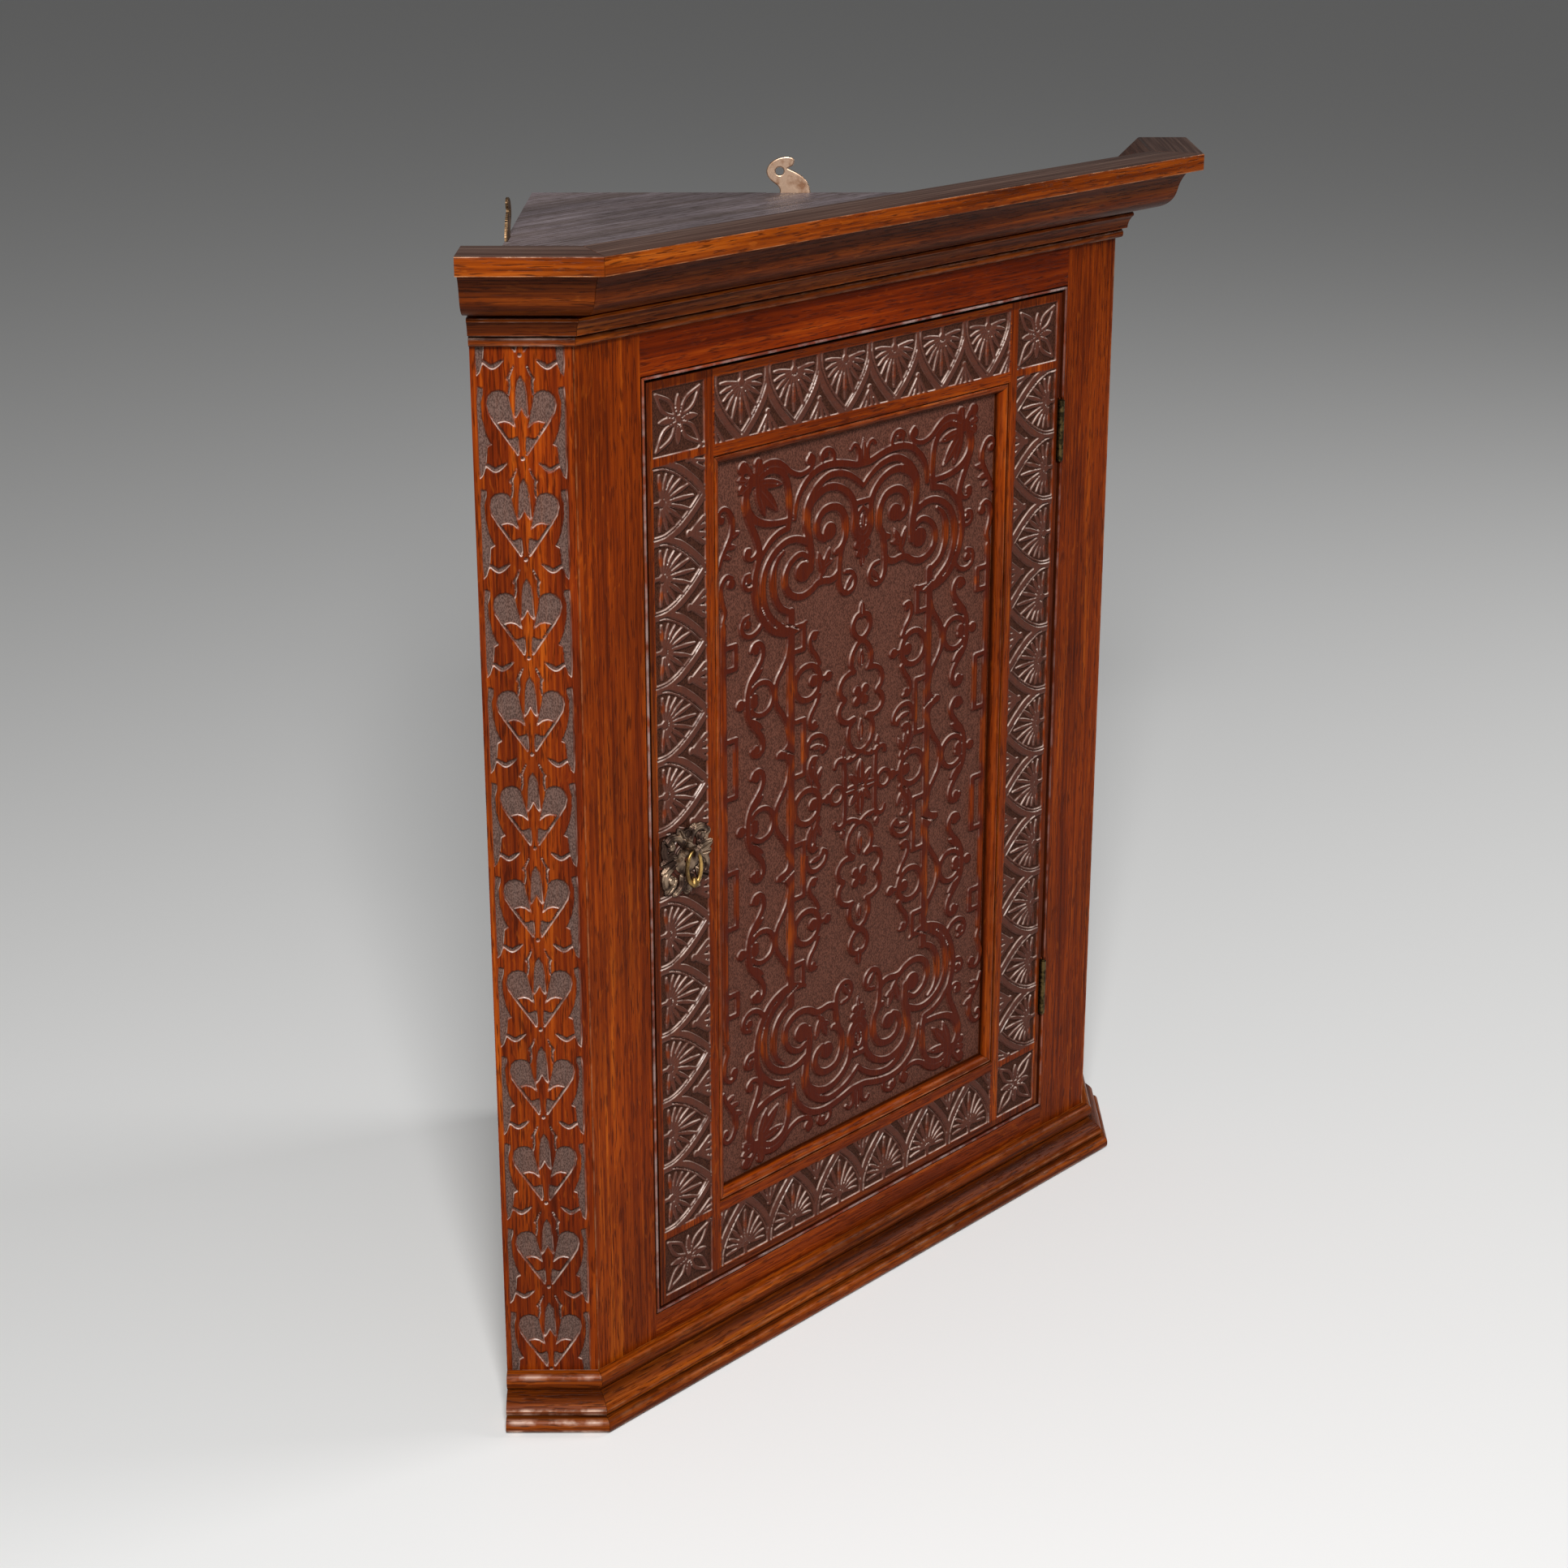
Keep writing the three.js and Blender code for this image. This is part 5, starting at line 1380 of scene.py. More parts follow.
def node(tree, kind, inputs=(), out=0, stops=(), **settings):
    """Adds a node and gives back one of its outputs. inputs fills the sockets in order, or by name
    where it is a dict, each with a value or with another node's output. stops fill a ramp."""
    made = tree.nodes.new("ShaderNode" + kind)
    for label, value in settings.items():
        setattr(made, label, value)
    for label, value in inputs.items() if isinstance(inputs, dict) else enumerate(inputs):
        if isinstance(value, bpy.types.NodeSocket):
            tree.links.new(value, made.inputs[label])
        else:
            made.inputs[label].default_value = value
    # a new ramp holds two stops already, which take the first two places
    for i, (place, colour) in enumerate(stops):
        ramp = made.color_ramp.elements
        stop = ramp[i] if i < 2 else ramp.new(place)
        stop.position, stop.color = place, colour
    return made.outputs[out] if made.outputs else made


def per_metre(width):
    """Repeats in a metre of a pattern whose features are width millimetres apart."""
    return 1000.0 / width


print("middle grey in linear light:", round(linear("#808080")[0], 3))

# %% [markdown]
# ### Oak
# Oak is ring-porous: each year's growth starts with a band of open pores, which show as short dark
# dashes along the grain. Between them run broad streaks of darker and lighter wood, and quartered
# boards show pale flecks where the rays are cut. Two centuries of wax and smoke have turned it red
# brown and glossy on the faces and left it dull in the cuts. The hollows are darkened, partly as wax
# and soot and partly as painted shade, what faces down is darkened as painted shade, and the outer
# edges are painted pale, partly as wear from hands and partly as a painted highlight. The backs never
# saw wax and stay bare. The pattern lives in the object's own space and is stretched along the grain,
# so a stile's grain stands up and a rail's lies across.

# %% Sizes of the oak's figure
# each pattern's width across the grain and its length along it, in millimetres
STREAK, FINE_STREAK, FLECK, CLOUD, GLOSS = (26, 700), (2.6, 130), (5, 22), (55, 150), (60, 90)
# a real pore is about 0.3 mm wide, and is drawn wider because nothing finer shows at this size
PORE = (1.3, 17)
PORE_SHADE, PORE_DEPTH = 0.8, 0.12
# rubbed edges come in patches this wide
RUB_PATCH = 14
# where the four tones of a finish stand in its streaks
TONE_PLACES = (0.33, 0.45, 0.56, 0.68)
# wax and soot go nearly black, and the same colour is the painted shade in hollows and on what faces
# down. Oak with its wax rubbed off is tan
WAX_AND_SHADE, WORN = "#160804", "#b8743c"
# how dark a board's sideways edges are painted, as wax and as painted shade, and how dark the plain wood
# round the door's edge is
EDGE_WAX_AND_SHADE, MARGIN_DARKENING = 0.8, 0.5
# wax over an old varnish bends light about this much. Dry faces reflect little, rubbed edges more
OAK_IOR, SHEEN, EDGE_SHEEN = 1.48, 0.05, 0.9
# the middle of the door, and how far its carved strips reach from there
DOOR_MIDDLE = ((door_low[0] + door_right) / 2 * MM, 0, (door_low[2] + door_high[2]) / 2 * MM)
STRIPS_REACH = (STRIP_OUT * MM, 1.0, (strip_top - strip_bottom) / 2 * MM)


def ladder(tones):
    """The stops of a ramp from the darkest tone to the lightest."""
    return [(place, linear(tone)) for place, tone in zip(TONE_PLACES, tones)]


print("pores are drawn", PORE[0], "mm wide and", PORE[1], "mm long")

# %% [markdown]
# ### The oak recipe
# The wood's own figure comes first, and then the layers over it, one over the other: wax and soot
# with painted shade, rubbed edges with a painted highlight, dust, and the bare inside with its edges
# darkened. A layer that a finish doesn't ask for is left out.

# %% Oak recipe
def oak(name, turn, tones, shine, ground=None, stain=None, dust=None, arris=None, inside=None,
        hollow=(5.0, 0.6), bare=WORN, margin=False, rubbing_and_highlight=1.0):
    """Oak with its grain along the local Z axis turned by turn degrees. tones run dark to light.
    ground makes it carved oak, and is the colour of the sunk wood, with stain for the dull tops.
    dust gives the tones of what faces up, and arris is how far out a board's worn edge lies.
    inside gives the tones of the back, and then the board's edges, which face sideways, are darkened
    too, partly as wax and partly as painted shade. hollow is the depth at which a hollow is darkest,
    and how dark, as soot and as painted shade. bare is the colour of a worn edge, and on beads and the
    base's left return also a painted highlight. margin darkens the plain wood round the edge of the
    door. rubbing says how pale the carved edges are painted, as wear and as painted highlight."""
    material = bpy.data.materials.new(name)
    add = functools.partial(node, empty_tree(material))
    place = add("TexCoord", out="Object")
    turned_place = add("Mapping", {"Vector": place, "Rotation": [math.radians(a) for a in turn]})

    def pattern(size, detail=3.0, rough=0.5, bend=0.0):
        """A noise of the given size, stretched along the grain."""
        across, along = per_metre(size[0]), per_metre(size[1])
        stretched = add("Mapping", {"Vector": turned_place, "Scale": (across, across, along)})
        return add("TexNoise", {
            "Vector": stretched, "Scale": 1.0, "Detail": detail, "Roughness": rough, "Distortion": bend})

    # the figure: streaks, pale flecks, dark pores, and clouds over all of it
    figure = add("Mix", {
        "Factor": 0.6, "A": pattern(STREAK, 3, 0.55, 0.2), "B": pattern(FINE_STREAK, 4, 0.6)})
    streaks = add("ValToRGB", [figure], stops=ladder(tones))
    fleck = add("ValToRGB", [pattern(FLECK, 2, 0.4, 1.5)], stops=[(0.63, grey(0)), (0.72, grey(0.25))])
    pores = add("ValToRGB", [pattern(PORE, 2)], stops=[(0.36, grey(1)), (0.45, grey(0))])
    cloud = add("ValToRGB", [pattern(CLOUD)], stops=[(0.32, grey(0.7)), (0.66, grey(1.14))])
    shade = add("MixRGB", [fleck, streaks, linear(tones[3])])
    pore_share = add("Math", [pores, PORE_SHADE], operation="MULTIPLY")
    shade = add("MixRGB", [pore_share, shade, linear(tones[0])])
    shade = add("MixRGB", [1.0, shade, cloud], blend_type="MULTIPLY")
    rough = add("MapRange", [pattern(GLOSS), 0.0, 1.0, shine - 0.07, shine + 0.12])
    height = add("Math", [pores, -PORE_DEPTH], operation="MULTIPLY")

    # hollows darkened, partly as wax and soot and partly as painted shade, and painted shade on what
    # faces down
    normal = add("TexCoord", out="Normal")
    upward, backward = add("SeparateXYZ", [normal], "Z"), add("SeparateXYZ", [normal], "Y")
    depth = add("Attribute", out="Fac", attribute_name="hollow")
    depth = add("MapRange", [depth, 0.3, hollow[0], 0.0, hollow[1]])
    painted_shade_beneath = add("MapRange", [upward, -0.1, -0.7, 0.0, 0.7])
    grime_and_shade = add("Math", [depth, painted_shade_beneath], operation="MAXIMUM")
    shade = add("MixRGB", [grime_and_shade, shade, linear(WAX_AND_SHADE)])

    # edges rubbed pale in patches, partly wear and, on the mouldings' rounds and beads, partly a painted
    # highlight
    patchy = add("TexNoise", {"Vector": place, "Scale": per_metre(RUB_PATCH), "Detail": 4.0})
    patchy = add("MapRange", [patchy, 0.42, 0.62, 0.1, 0.9])
    rubbed = add("Attribute", out="Fac", attribute_name="worn")
    if arris is not None:
        sideways = add("Math", [add("SeparateXYZ", [place], "X")], operation="ABSOLUTE")
        rubbed = add("MapRange", [sideways, (arris - 2.0) * MM, (arris - 0.6) * MM, 0.0, 0.35])
    rubbed = add("Math", [rubbed, patchy], operation="MULTIPLY")
    shade = add("MixRGB", [rubbed, shade, linear(bare)])
    level = add("MapRange", [rubbed, 0.0, 1.0, SHEEN, EDGE_SHEEN])

    if dust is not None:
        settled = add("ValToRGB", [figure], stops=ladder(dust))
        shade = add("MixRGB", [add("MapRange", [upward, 0.5, 0.8]), shade, settled])
    if margin:
        # the plain wood outside the carved strips, out to the door's edge, is darkened
        away = add("VectorMath", [place, DOOR_MIDDLE], operation="SUBTRACT")
        away = add("VectorMath", [away], operation="ABSOLUTE")
        away = add("VectorMath", [away, STRIPS_REACH], operation="SUBTRACT")
        beside, above = add("SeparateXYZ", [away], "X"), add("SeparateXYZ", [away], "Z")
        away = add("Math", [beside, above], operation="MAXIMUM")
        outside = add("MapRange", [away, 0.0, 1.5 * MM, 0.0, MARGIN_DARKENING])
        shade = add("MixRGB", [outside, shade, linear(WAX_AND_SHADE)])
    if inside is not None:
        # a board's edges, which face sideways, are darkened, partly as wax in the gaps and partly as
        # painted shade
        level_with = add("Math", [backward], operation="ABSOLUTE")
        edgeways_shade = add("MapRange", [level_with, 0.15, 0.4, EDGE_WAX_AND_SHADE, 0.0])
        shade = add("MixRGB", [edgeways_shade, shade, linear(WAX_AND_SHADE)])
        unwaxed = add("ValToRGB", [figure], stops=ladder(inside))
        shade = add("MixRGB", [add("MapRange", [backward, 0.5, 0.65]), shade, unwaxed])
    if ground is not None:
        shade, rough, height, level = carved_finish(
            add, shade, height, place, ground, stain, level, rubbing_and_highlight)
    bump = add("Bump", {"Strength": 1.0, "Distance": MM, "Height": height})
    shader = add("BsdfPrincipled", {
        "Base Color": shade, "Roughness": rough, "Normal": bump, "IOR": OAK_IOR,
        "Specular IOR Level": level})
    add("OutputMaterial", {"Surface": shader})
    return material


print("oak streaks are", STREAK[0], "mm wide and", STREAK[1], "mm long")

# %% [markdown]
# ### Carved oak
# Carved oak is the same wood with a history: the ground, which no cloth reaches, has gone dull and
# greyish with old wax and dust, and was stippled with a punch. The edges of the standing wood are
# rubbed pale and shine, and those that face up or to the left are painted paler, a painted highlight
# of the lamp on the upper left. Straps that run with the grain keep the lighter polished tones,
# partly their polish and partly painted light from the left, and straps that cross the grain take
# the dark stain. The relief's numbers on each point tell the recipe where it is.

# %% Carved finish
# an edge worn through its stain is pale and a little pink, and the same colour paints the highlight
# of the upper left lamp on the edges
RUBBED_AND_LIT = "#ccb2a4"
# a real punch mark is about 0.4 mm wide, and is drawn twice as wide so that it shows
PUNCH_WIDTH, PUNCH_LENGTH = 0.8, 1.5
PUNCH_DEPTH, PUNCH_SHADE = 0.5, 0.42
WEAR_PATCH = 11
# how much lower than the tops the rounded edges are drawn, and the way that an edge faces to be
# painted pale most, a painted highlight of the lamp on the upper left
ROUNDING = 0.22
LIT_AND_WORN_FROM = (-0.35, 0.0, 0.94)


def carved_finish(add, shade, height, place, ground, stain, sheen, rubbing_and_highlight):
    """Adds the dull ground, the punched dots and the rubbed edges, painted paler where they face the
    upper left lamp as a painted highlight, to an oak recipe.
    """
    rise, edge, grain, dull = (
        add("Attribute", out="Fac", attribute_name=label) for label in ("rise", "edge", "grain", "dull"))

    # stained tops, where straps that run with the grain keep the lighter tones, partly polish and partly
    # painted light from the left, and the stippled ground
    crossing = add("MapRange", [grain, 0.8, 0.97, 0.9, 0.1])
    stained_unlit_share = add("Math", [crossing, dull], operation="MULTIPLY")
    tops = add("MixRGB", [stained_unlit_share, shade, linear(stain)])
    across, along = per_metre(PUNCH_WIDTH), per_metre(PUNCH_LENGTH)
    punches = add("Mapping", {"Vector": place, "Scale": (across, across, along)})
    dots = add("TexNoise", {"Vector": punches, "Scale": 1.0, "Detail": 2.0})
    marks = [PUNCH_SHADE * part for part in linear(ground)]
    stippled = add("MixRGB", [add("MapRange", [dots, 0.4, 0.58]), marks, linear(ground)])
    sunk = add("MapRange", [rise, 0.1, 0.5, 1.0, 0.0])
    share = add("Math", [sunk, 0.92], operation="MULTIPLY")
    lowered = add("MixRGB", [share, tops, stippled])

    # edges rubbed in patches, on the wall of a cut and just above it, and painted pale mostly where they
    # face up and to the left, a painted highlight of the upper left lamp
    wear_and_highlight = add("TexNoise", {"Vector": place, "Scale": per_metre(WEAR_PATCH), "Detail": 4.0})
    wear_and_highlight = add("MapRange", [wear_and_highlight, 0.35, 0.62, 0.12, 1.0])
    above = add("MapRange", [edge, -0.25, 0.1, 0.0, 0.8 * rubbing_and_highlight])
    below = add("MapRange", [edge, 0.3, 0.65, 1.0, 0.0])
    wall = add("Math", [above, below], operation="MULTIPLY")
    normal = add("TexCoord", out="Normal")
    lit_facing = add("VectorMath", [normal, LIT_AND_WORN_FROM], "Value", operation="DOT_PRODUCT")
    lit_facing = add("MapRange", [lit_facing, 0.15, 0.5, 0.05, 1.0])
    crossed = add("MapRange", [grain, 0.85, 0.98, 1.0, 0.15])
    rub = add("Math", [wall, wear_and_highlight], operation="MULTIPLY")
    rub = add("Math", [rub, lit_facing], operation="MULTIPLY")
    rub = add("Math", [rub, crossed], operation="MULTIPLY")
    pale = add("MixRGB", [rub, lowered, linear(RUBBED_AND_LIT)])
    shine = add("Math", [rub, EDGE_SHEEN], operation="MULTIPLY")
    shine = add("Math", [sheen, shine], operation="ADD")

    # punch marks in the ground, and the standing wood's edges rounded over
    punched = add("Math", [dots, PUNCH_DEPTH], operation="MULTIPLY")
    punched = add("Math", [punched, sunk], operation="MULTIPLY")
    height = add("Math", [height, punched], operation="ADD")
    near_edge = add("MapRange", [edge, -1.1, 0.1])
    rounded = add("Math", [near_edge, near_edge], operation="MULTIPLY")
    rounded = add("Math", [rounded, ROUNDING], operation="MULTIPLY")
    height = add("Math", [height, rounded], operation="SUBTRACT")
    return pale, add("MapRange", [rise, 0.0, 1.0, 0.55, 0.34]), height, shine


print("punch marks are drawn", PUNCH_WIDTH, "mm wide")

# %% [markdown]
# ### The oak finishes
# One recipe gives every board. Waxed faces are red brown and shine softly. Mouldings were handled
# more, and are lighter and glossier. The crown's top and the top board have lain under dust and are
# grey. Boards that nobody sees were never waxed, and are pale, dull and brown.

# %% Oak finishes
UPRIGHT, ACROSS = (0, 0, 0), (0, 90, 0)
LEFT_RETURN, RIGHT_RETURN = (90, 45, 0), (90, -45, 0)
# tones from dark to light
POLISHED = ("#441402", "#622102", "#7c3003", "#a04c0c")
RED_POLISHED = ("#3e1002", "#581901", "#702502", "#903c08")
CARVED = ("#401203", "#642004", "#843405", "#a85210")
MOULDED = ("#401703", "#662804", "#863c08", "#aa5a1a")
WORN_TOP = ("#4f4340", "#6b5e5b", "#82767a", "#9a8e8e")
DUSTY = ("#33221d", "#46322b", "#5a443b", "#7a6257")
BARE = ("#4a3524", "#6b5038", "#84684a", "#9a7d5c")
BARE_REAR = ("#3c2b1c", "#58412d", "#6e563c", "#84694a")
# the beads' quirks are painted near black, partly wax and partly painted shade, and their noses a
# lilac grey, a painted reflection; then the wax, wear and painted highlight of each carved part
BEADED_SHADE_AND_REFLECTION = {"inside": BARE, "hollow": (1.3, 0.95), "bare": "#8e7872"}
PANEL = {"ground": "#643e32", "stain": "#441409", "inside": BARE, "rubbing_and_highlight": 0.72}
BORDER = {"ground": "#44271c", "stain": "#4c2c23", "inside": BARE, "margin": True}
CANT = {"ground": "#67524a", "stain": "#4a170a", "inside": BARE}
# the left return faces the lamp, so its edges are painted paler than the others, partly wear and
# partly a painted highlight
RETURNS_AND_HIGHLIGHTS = {"front": (ACROSS, WORN), "left": (LEFT_RETURN, "#d6ac94"), "right": (RIGHT_RETURN, WORN)}

cad_materials = len(bpy.data.materials)
# waxed faces: a deep red brown that shines softly, with dark pores and streaks under the wax
polished_upright = oak("polished_oak_upright", UPRIGHT, POLISHED, 0.36, arris=half, inside=BARE)
polished_across = oak("polished_oak_across", ACROSS, POLISHED, 0.36, inside=BARE)
red_polished_across = oak("red_polished_oak_across", ACROSS, RED_POLISHED, 0.36, inside=BARE)
# planed beads: glossy round noses painted lilac grey as a painted reflection, between quirks painted
# black, partly wax and partly painted shade
beaded_upright = oak("beaded_oak_upright", UPRIGHT, POLISHED, 0.3, **BEADED_SHADE_AND_REFLECTION)
beaded_across = oak("beaded_oak_across", ACROSS, RED_POLISHED, 0.3, **BEADED_SHADE_AND_REFLECTION)
# planed mouldings: lighter and glossier, with pale edges that are partly wear and partly painted
# highlight, and grey dust on top of the crown
moulded, dusty = {}, {}
for place, (turn, bare) in RETURNS_AND_HIGHLIGHTS.items():
    moulded[place] = oak(f"moulded_oak_{place}", turn, MOULDED, 0.3, bare=bare)
    dusty[place] = oak(f"dusty_crown_oak_{place}", turn, MOULDED, 0.34, dust=DUSTY)
# gouged and punched oak: shining tops with pale edges over a dull, stippled ground
carved_panel_oak = oak("carved_oak_panel", UPRIGHT, POLISHED, 0.36, **PANEL)
carved_cant_oak = oak("carved_oak_cant", UPRIGHT, CARVED, 0.36, **CANT)
carved_upright = oak("carved_oak_upright", UPRIGHT, POLISHED, 0.36, **BORDER)
carved_across = oak("carved_oak_across", ACROSS, POLISHED, 0.36, **BORDER)
# oak that dust and damp have turned grey: flat and dry, with no shine
worn_across = oak("worn_top_oak_across", ACROSS, WORN_TOP, 0.5)
# planed oak that was never waxed: pale brown, dull and dry, and darker on the walls' side
bare_upright = oak("bare_oak_upright", UPRIGHT, BARE, 0.62)
bare_rear = oak("bare_oak_rear_boards", UPRIGHT, BARE_REAR, 0.66)
bare_across = oak("bare_oak_across", ACROSS, BARE, 0.62)
print("oak finishes:", len(bpy.data.materials) - cad_materials)

# %% [markdown]
# ### Brass and iron
# The handle is old cast brass, toned brown in the hollows and rubbed bright on the high places, and
# its drop, which is pulled every day, is brighter, partly for that and partly as painted glints. The
# two hanging plates are the same sheet brass, and the left one, seen edge-on, is given a darker copy
# as painted shade. The hinges' drawn brass has gone dull and dark. The lock case and the screws in
# the hanging plates are iron, dulled by a thin brown rust. Brass and iron are metals, so the colour
# tints the reflection itself, and a thin patina in patches makes the shine uneven.

# %% Metal recipe
# how much rougher or smoother than the whole a patch is, and how high it stands in millimetres
PATCH_CONTRAST, PATCH_RELIEF = 0.12, 0.2


def metal(name, dark, bright, share, rough, grain):
    """A toned metal: dark patina with bright rubbed places over share of it. grain is the size of
    its patches in millimetres."""
    material = bpy.data.materials.new(name)
    add = functools.partial(node, empty_tree(material))
    place = add("TexCoord", out="Object")
    blotch = add("TexNoise", {"Vector": place, "Scale": per_metre(grain), "Detail": 4.0})
    patina, rubbed = 0.62 - share * 0.4, 0.78 - share * 0.4
    colour = add("ValToRGB", [blotch], stops=[(patina, linear(dark)), (rubbed, linear(bright))])
    tone = add("MapRange", [blotch, 0.0, 1.0, rough + PATCH_CONTRAST, rough - PATCH_CONTRAST])
    bump = add("Bump", {"Strength": 0.25, "Distance": PATCH_RELIEF * MM, "Height": blotch})
    shader = add("BsdfPrincipled", {
        "Base Color": colour, "Metallic": 1.0, "Roughness": tone, "Normal": bump})
    add("OutputMaterial", {"Surface": shader})
    return material


# each has the colours of its patina and of its bright metal, the share that is rubbed bright, the
# roughness of the whole and the size of a patch
# cast brass: brown in the pits, with a dull yellow shine on what stands out
toned_brass = metal("cast_brass_toned", "#45342c", "#a08872", 0.4, 0.45, 12)
# the drop's brass is brighter, partly from handling and partly as painted glints
rubbed_and_glinting_brass = metal("cast_brass_rubbed", "#58442c", "#c29c5c", 0.5, 0.4, 12)
# drawn brass: small even patches, dark as old bronze
dull_brass = metal("drawn_brass_dulled", "#2e2618", "#645232", 0.5, 0.45, 4)
# sheet brass: smooth, with a broad pale shine where it is waxed, and warm brown where it isn't
clean_brass = metal("sheet_brass_waxed", "#a67c60", "#e2c0a4", 0.6, 0.36, 9)
# the left plate's copy is darker all over, as painted shade on the plate seen edge-on
shaded_sheet_brass = metal("sheet_brass_browned", "#4c3a2a", "#8c7052", 0.5, 0.45, 9)
# forged iron: a grey brown with hardly any shine
dull_iron = metal("forged_iron_dulled", "#3a322c", "#6a635c", 0.4, 0.55, 3)
print("all finishes:", len(bpy.data.materials) - cad_materials)

# %% [markdown]
# ## Dressing the solids that stay
# Plain boards need no new shape. A small bevel takes off the knife edge that no planed board has,
# and the grain runs the way that the joiner would lay it.

# %% Finish the plain solids
SOFTENED, BEVEL_STEPS, BEVEL_FROM = 0.5, 2, 40
# how a solid's name starts and ends, its finish, and how much its edges are softened in millimetres
SOLID_FINISHES = [
    ("face_rail_top", "", red_polished_across, SOFTENED),
    ("face_rail", "", polished_across, SOFTENED),
    ("face_stile", "", polished_upright, SOFTENED),
    ("top_board", "", worn_across, 0.3),
    ("back_board", "rear", bare_rear, SOFTENED),
    ("back_board", "", bare_upright, SOFTENED),
    ("door_stop", "", bare_upright, SOFTENED),
    ("bottom_board", "", bare_across, SOFTENED),
    ("shelf", "", bare_across, SOFTENED),
    ("bottom_bearer", "", bare_across, SOFTENED),
    ("hinge", "", dull_brass, 0.15),
    ("lock_bolt", "", dull_brass, 0.15),
    ("handle_stud", "", toned_brass, 0.2),
    ("handle_plate_pin", "", toned_brass, 0.2),
    ("lock_case", "", dull_iron, 0.2),
    ("hanging_plate_screw", "", dull_iron, 0.2),
]


def finish_with(made, material, soften=0.0):
    """Puts one material on an object, and a bevel where soften says how wide."""
    made.data.materials.clear()
    made.data.materials.append(material)
    if soften:
        bevel = made.modifiers.new("softened", "BEVEL")
        bevel.width = soften * MM
        bevel.segments = BEVEL_STEPS
        bevel.limit_method = "ANGLE"
        bevel.angle_limit = math.radians(BEVEL_FROM)


dressed = 0
for name, made in frame["nodes"].items():
    for start, end, material, soften in SOLID_FINISHES:
        if name.startswith(start) and name.endswith(end):
            finish_with(made, material, soften)
            dressed += 1
            break
print("solids that stay:", dressed)

# %% [markdown]
# The pieces made above stand in for their solids and take their finishes now. Their edges are in
# their own meshes, so they need no bevel.

# %% Finish the made pieces
for made in case_mouldings:
    finishes = dusty if "crown" in made.name else moulded
    finish_with(made, finishes[made.name.split("_")[-1]])
for place, made in beads.items():
    finish_with(made, beaded_upright if place in ("left", "right") else beaded_across)
for place, made in door_members.items():
    finish_with(made, carved_upright if place in ("left", "right") else carved_across)
for made in cants:
    finish_with(made, carved_cant_oak)
for made in hangers:
    finish_with(made, shaded_sheet_brass if "left" in made.name else clean_brass)
for made in screws:
    finish_with(made, dull_brass)
finish_with(carved_panel, carved_panel_oak)
finish_with(cast_plate, toned_brass)
finish_with(drop, rubbed_and_glinting_brass)
finish_with(lock_screws, dull_iron)
print("pieces made:", len(PIECES))

# %% [markdown]
# ## Floor and light
# The studio is plain: a pale floor, a dim pale room, a soft lamp high on the left and a broader and
# weaker one on the right. Low relief is read by the light and shade on its edges, so the stronger
# lamp is the smaller one, and it rakes across the door from the upper left. The lamps light the wood
# at a plain level, and the room is only there to fill the shadows.

# %% Floor and light
FLOOR_REACH, FLOOR_DROP = 16000, 1
ROOM_LIGHT, ROOM_SHOWN = 0.12, 0.13


def floor():
    """A pale floor, a hair under the cupboard."""
    far, low = FLOOR_REACH, -FLOOR_DROP
    corners = [(-far, -far, low), (far, -far, low), (far, far, low), (-far, far, low)]
    made = build("pale_floor", corners, [(0, 1, 2, 3)])
    material = bpy.data.materials.new("matt_pale_paper")
    add = functools.partial(node, empty_tree(material))
    add("OutputMaterial", {"Surface": add("BsdfPrincipled", {
        "Base Color": linear("#f2f2f1"), "Roughness": 0.9})})
    made.data.materials.append(material)


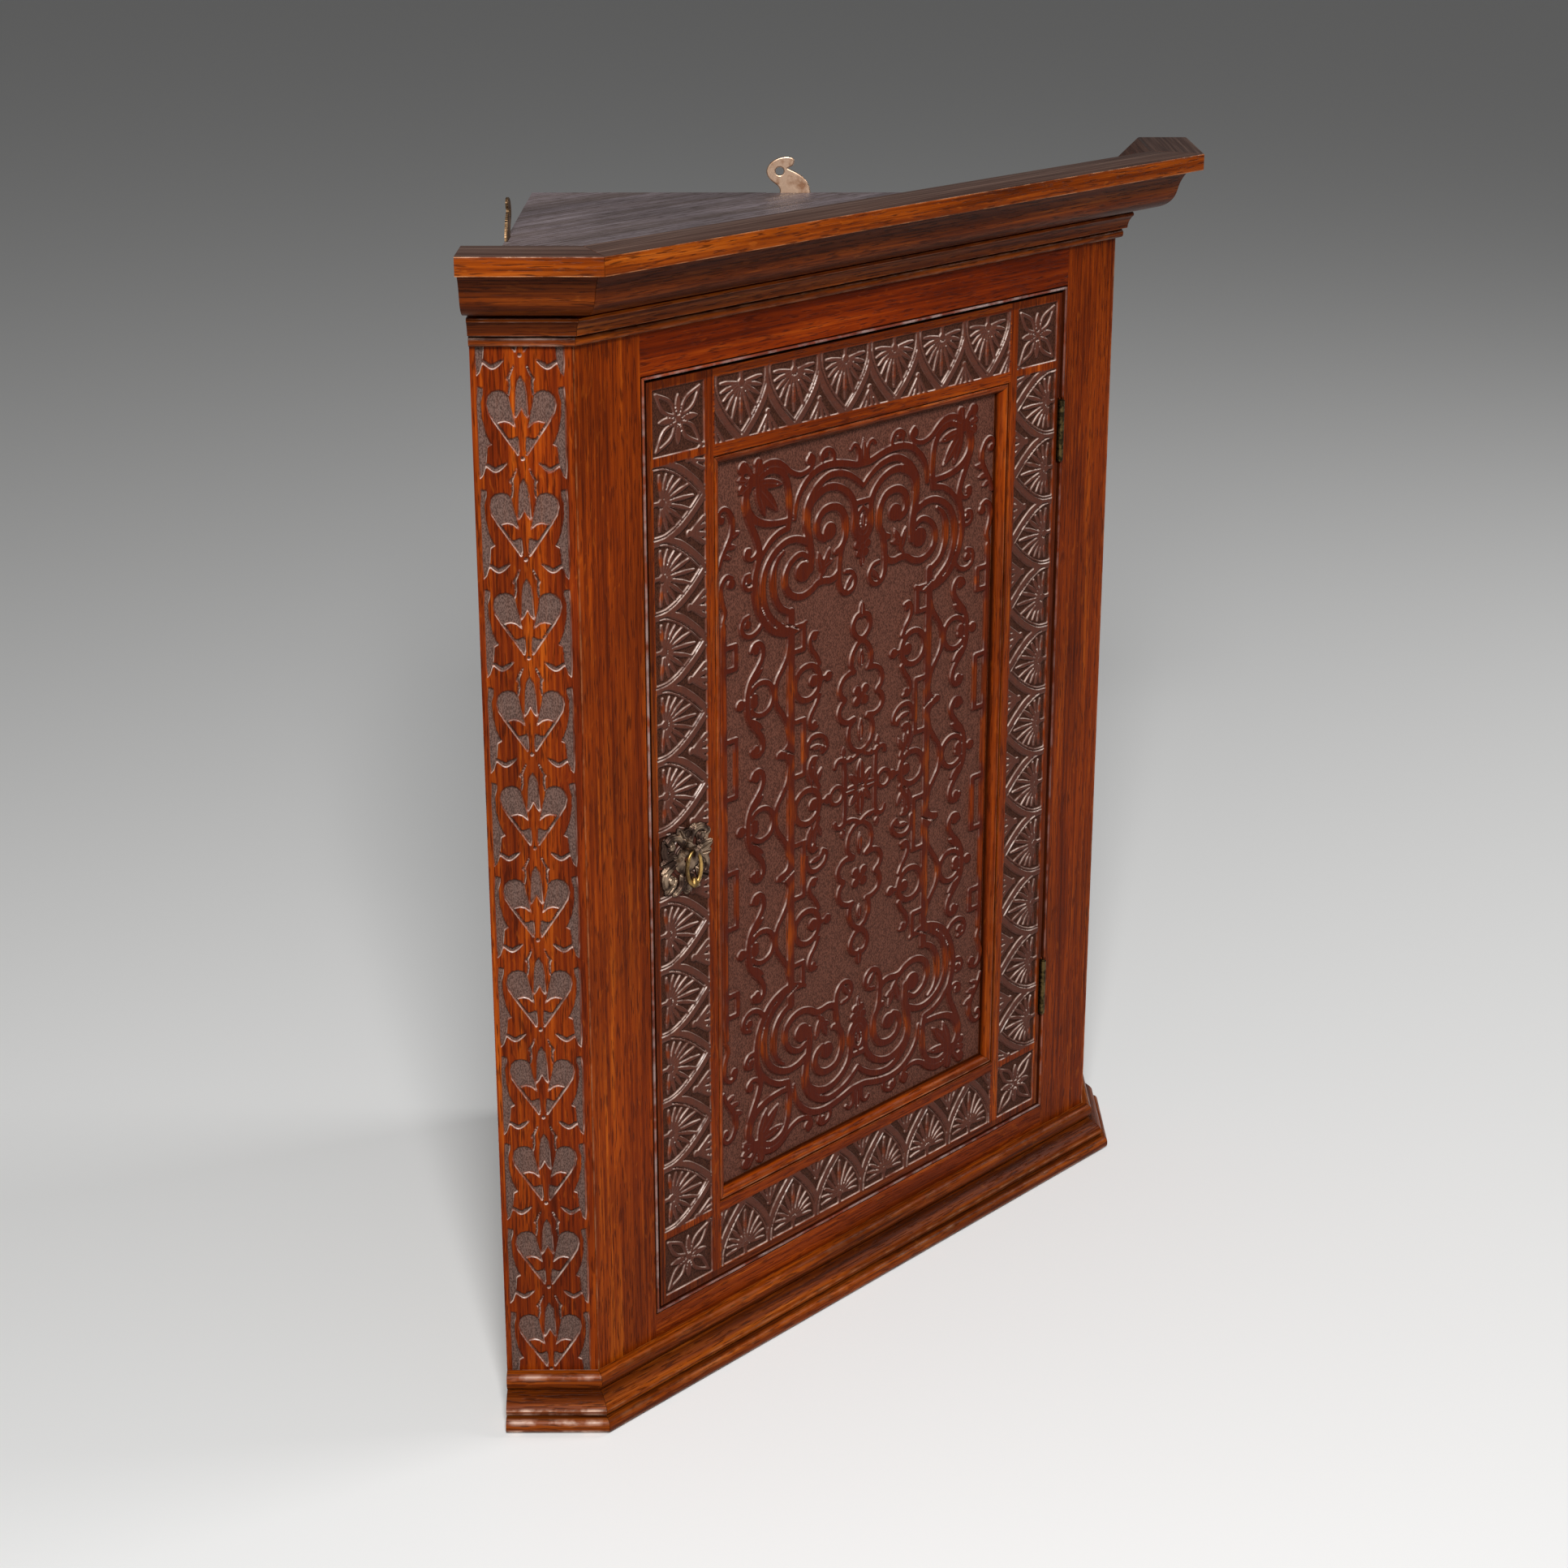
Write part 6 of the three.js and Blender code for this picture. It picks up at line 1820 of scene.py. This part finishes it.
def softbox(name, place, target, size, power):
    """A square lamp at place, turned towards target. size is in metres and power in watts."""
    light = bpy.data.lights.new(name, "AREA")
    light.shape = "RECTANGLE"
    light.size = light.size_y = size
    light.energy = power
    made = bpy.data.objects.new(name, light)
    bpy.context.scene.collection.objects.link(made)
    made.location = place
    made.rotation_euler = (Vector(target) - Vector(place)).to_track_quat("-Z", "Y").to_euler()


def world(strength, shown):
    """A pale room that lights the part at strength and shows itself and its reflections at shown."""
    made = bpy.data.worlds.new("pale_room")
    bpy.context.scene.world = made
    add = functools.partial(node, empty_tree(made))
    camera_ray, glossy_ray, clear_ray = (
        add("LightPath", out=f"Is {kind} Ray") for kind in ("Camera", "Glossy", "Transmission"))
    seen = add("Math", [camera_ray, glossy_ray], operation="MAXIMUM")
    seen = add("Math", [seen, clear_ray], operation="MAXIMUM")
    level = add("MapRange", [seen, 0.0, 1.0, strength, shown])
    back = add("Background", {"Color": linear("#f4f4f4"), "Strength": level})
    add("OutputWorld", {"Surface": back})


floor()
world(ROOM_LIGHT, ROOM_SHOWN)
softbox("key_lamp", (-1.8, -2.0, 2.4), (0, -0.15, 0.45), 0.8, 116)
softbox("fill_lamp", (2.5, -1.6, 2.2), (0.3, -0.3, 0.2), 1.2, 30)
print("lamps:", sorted(light.name for light in bpy.data.lights))

# %% [markdown]
# ## Camera
# The camera was fitted to the cupboard's straight arrises. It stands to the left of the front and a
# little above it, and looks down, so the top board shows. The small lens shift lifts the cupboard in
# the picture without tilting the camera further.

# %% Camera
LENS, SENSOR, SHIFT = 60.06, 36.0, -0.12
EYE = (-1.4054, -1.46869, 1.2058)
AZIMUTH, ELEVATION = math.radians(45.151), math.radians(17.779)
ahead = math.cos(ELEVATION)
look = Vector((math.sin(AZIMUTH) * ahead, math.cos(AZIMUTH) * ahead, -math.sin(ELEVATION)))
lens = bpy.data.cameras.new("camera")
lens.lens, lens.sensor_width = LENS, SENSOR
lens.shift_y = SHIFT
camera = bpy.data.objects.new("camera", lens)
bpy.context.scene.collection.objects.link(camera)
camera.location = EYE
camera.rotation_euler = look.to_track_quat("-Z", "Y").to_euler()
bpy.context.scene.camera = camera
bpy.context.scene.view_settings.view_transform = "Standard"
print("camera", round(camera.location.length, 2), "m from the middle of the underside")

# %% Update the view layer
bpy.context.view_layer.update()
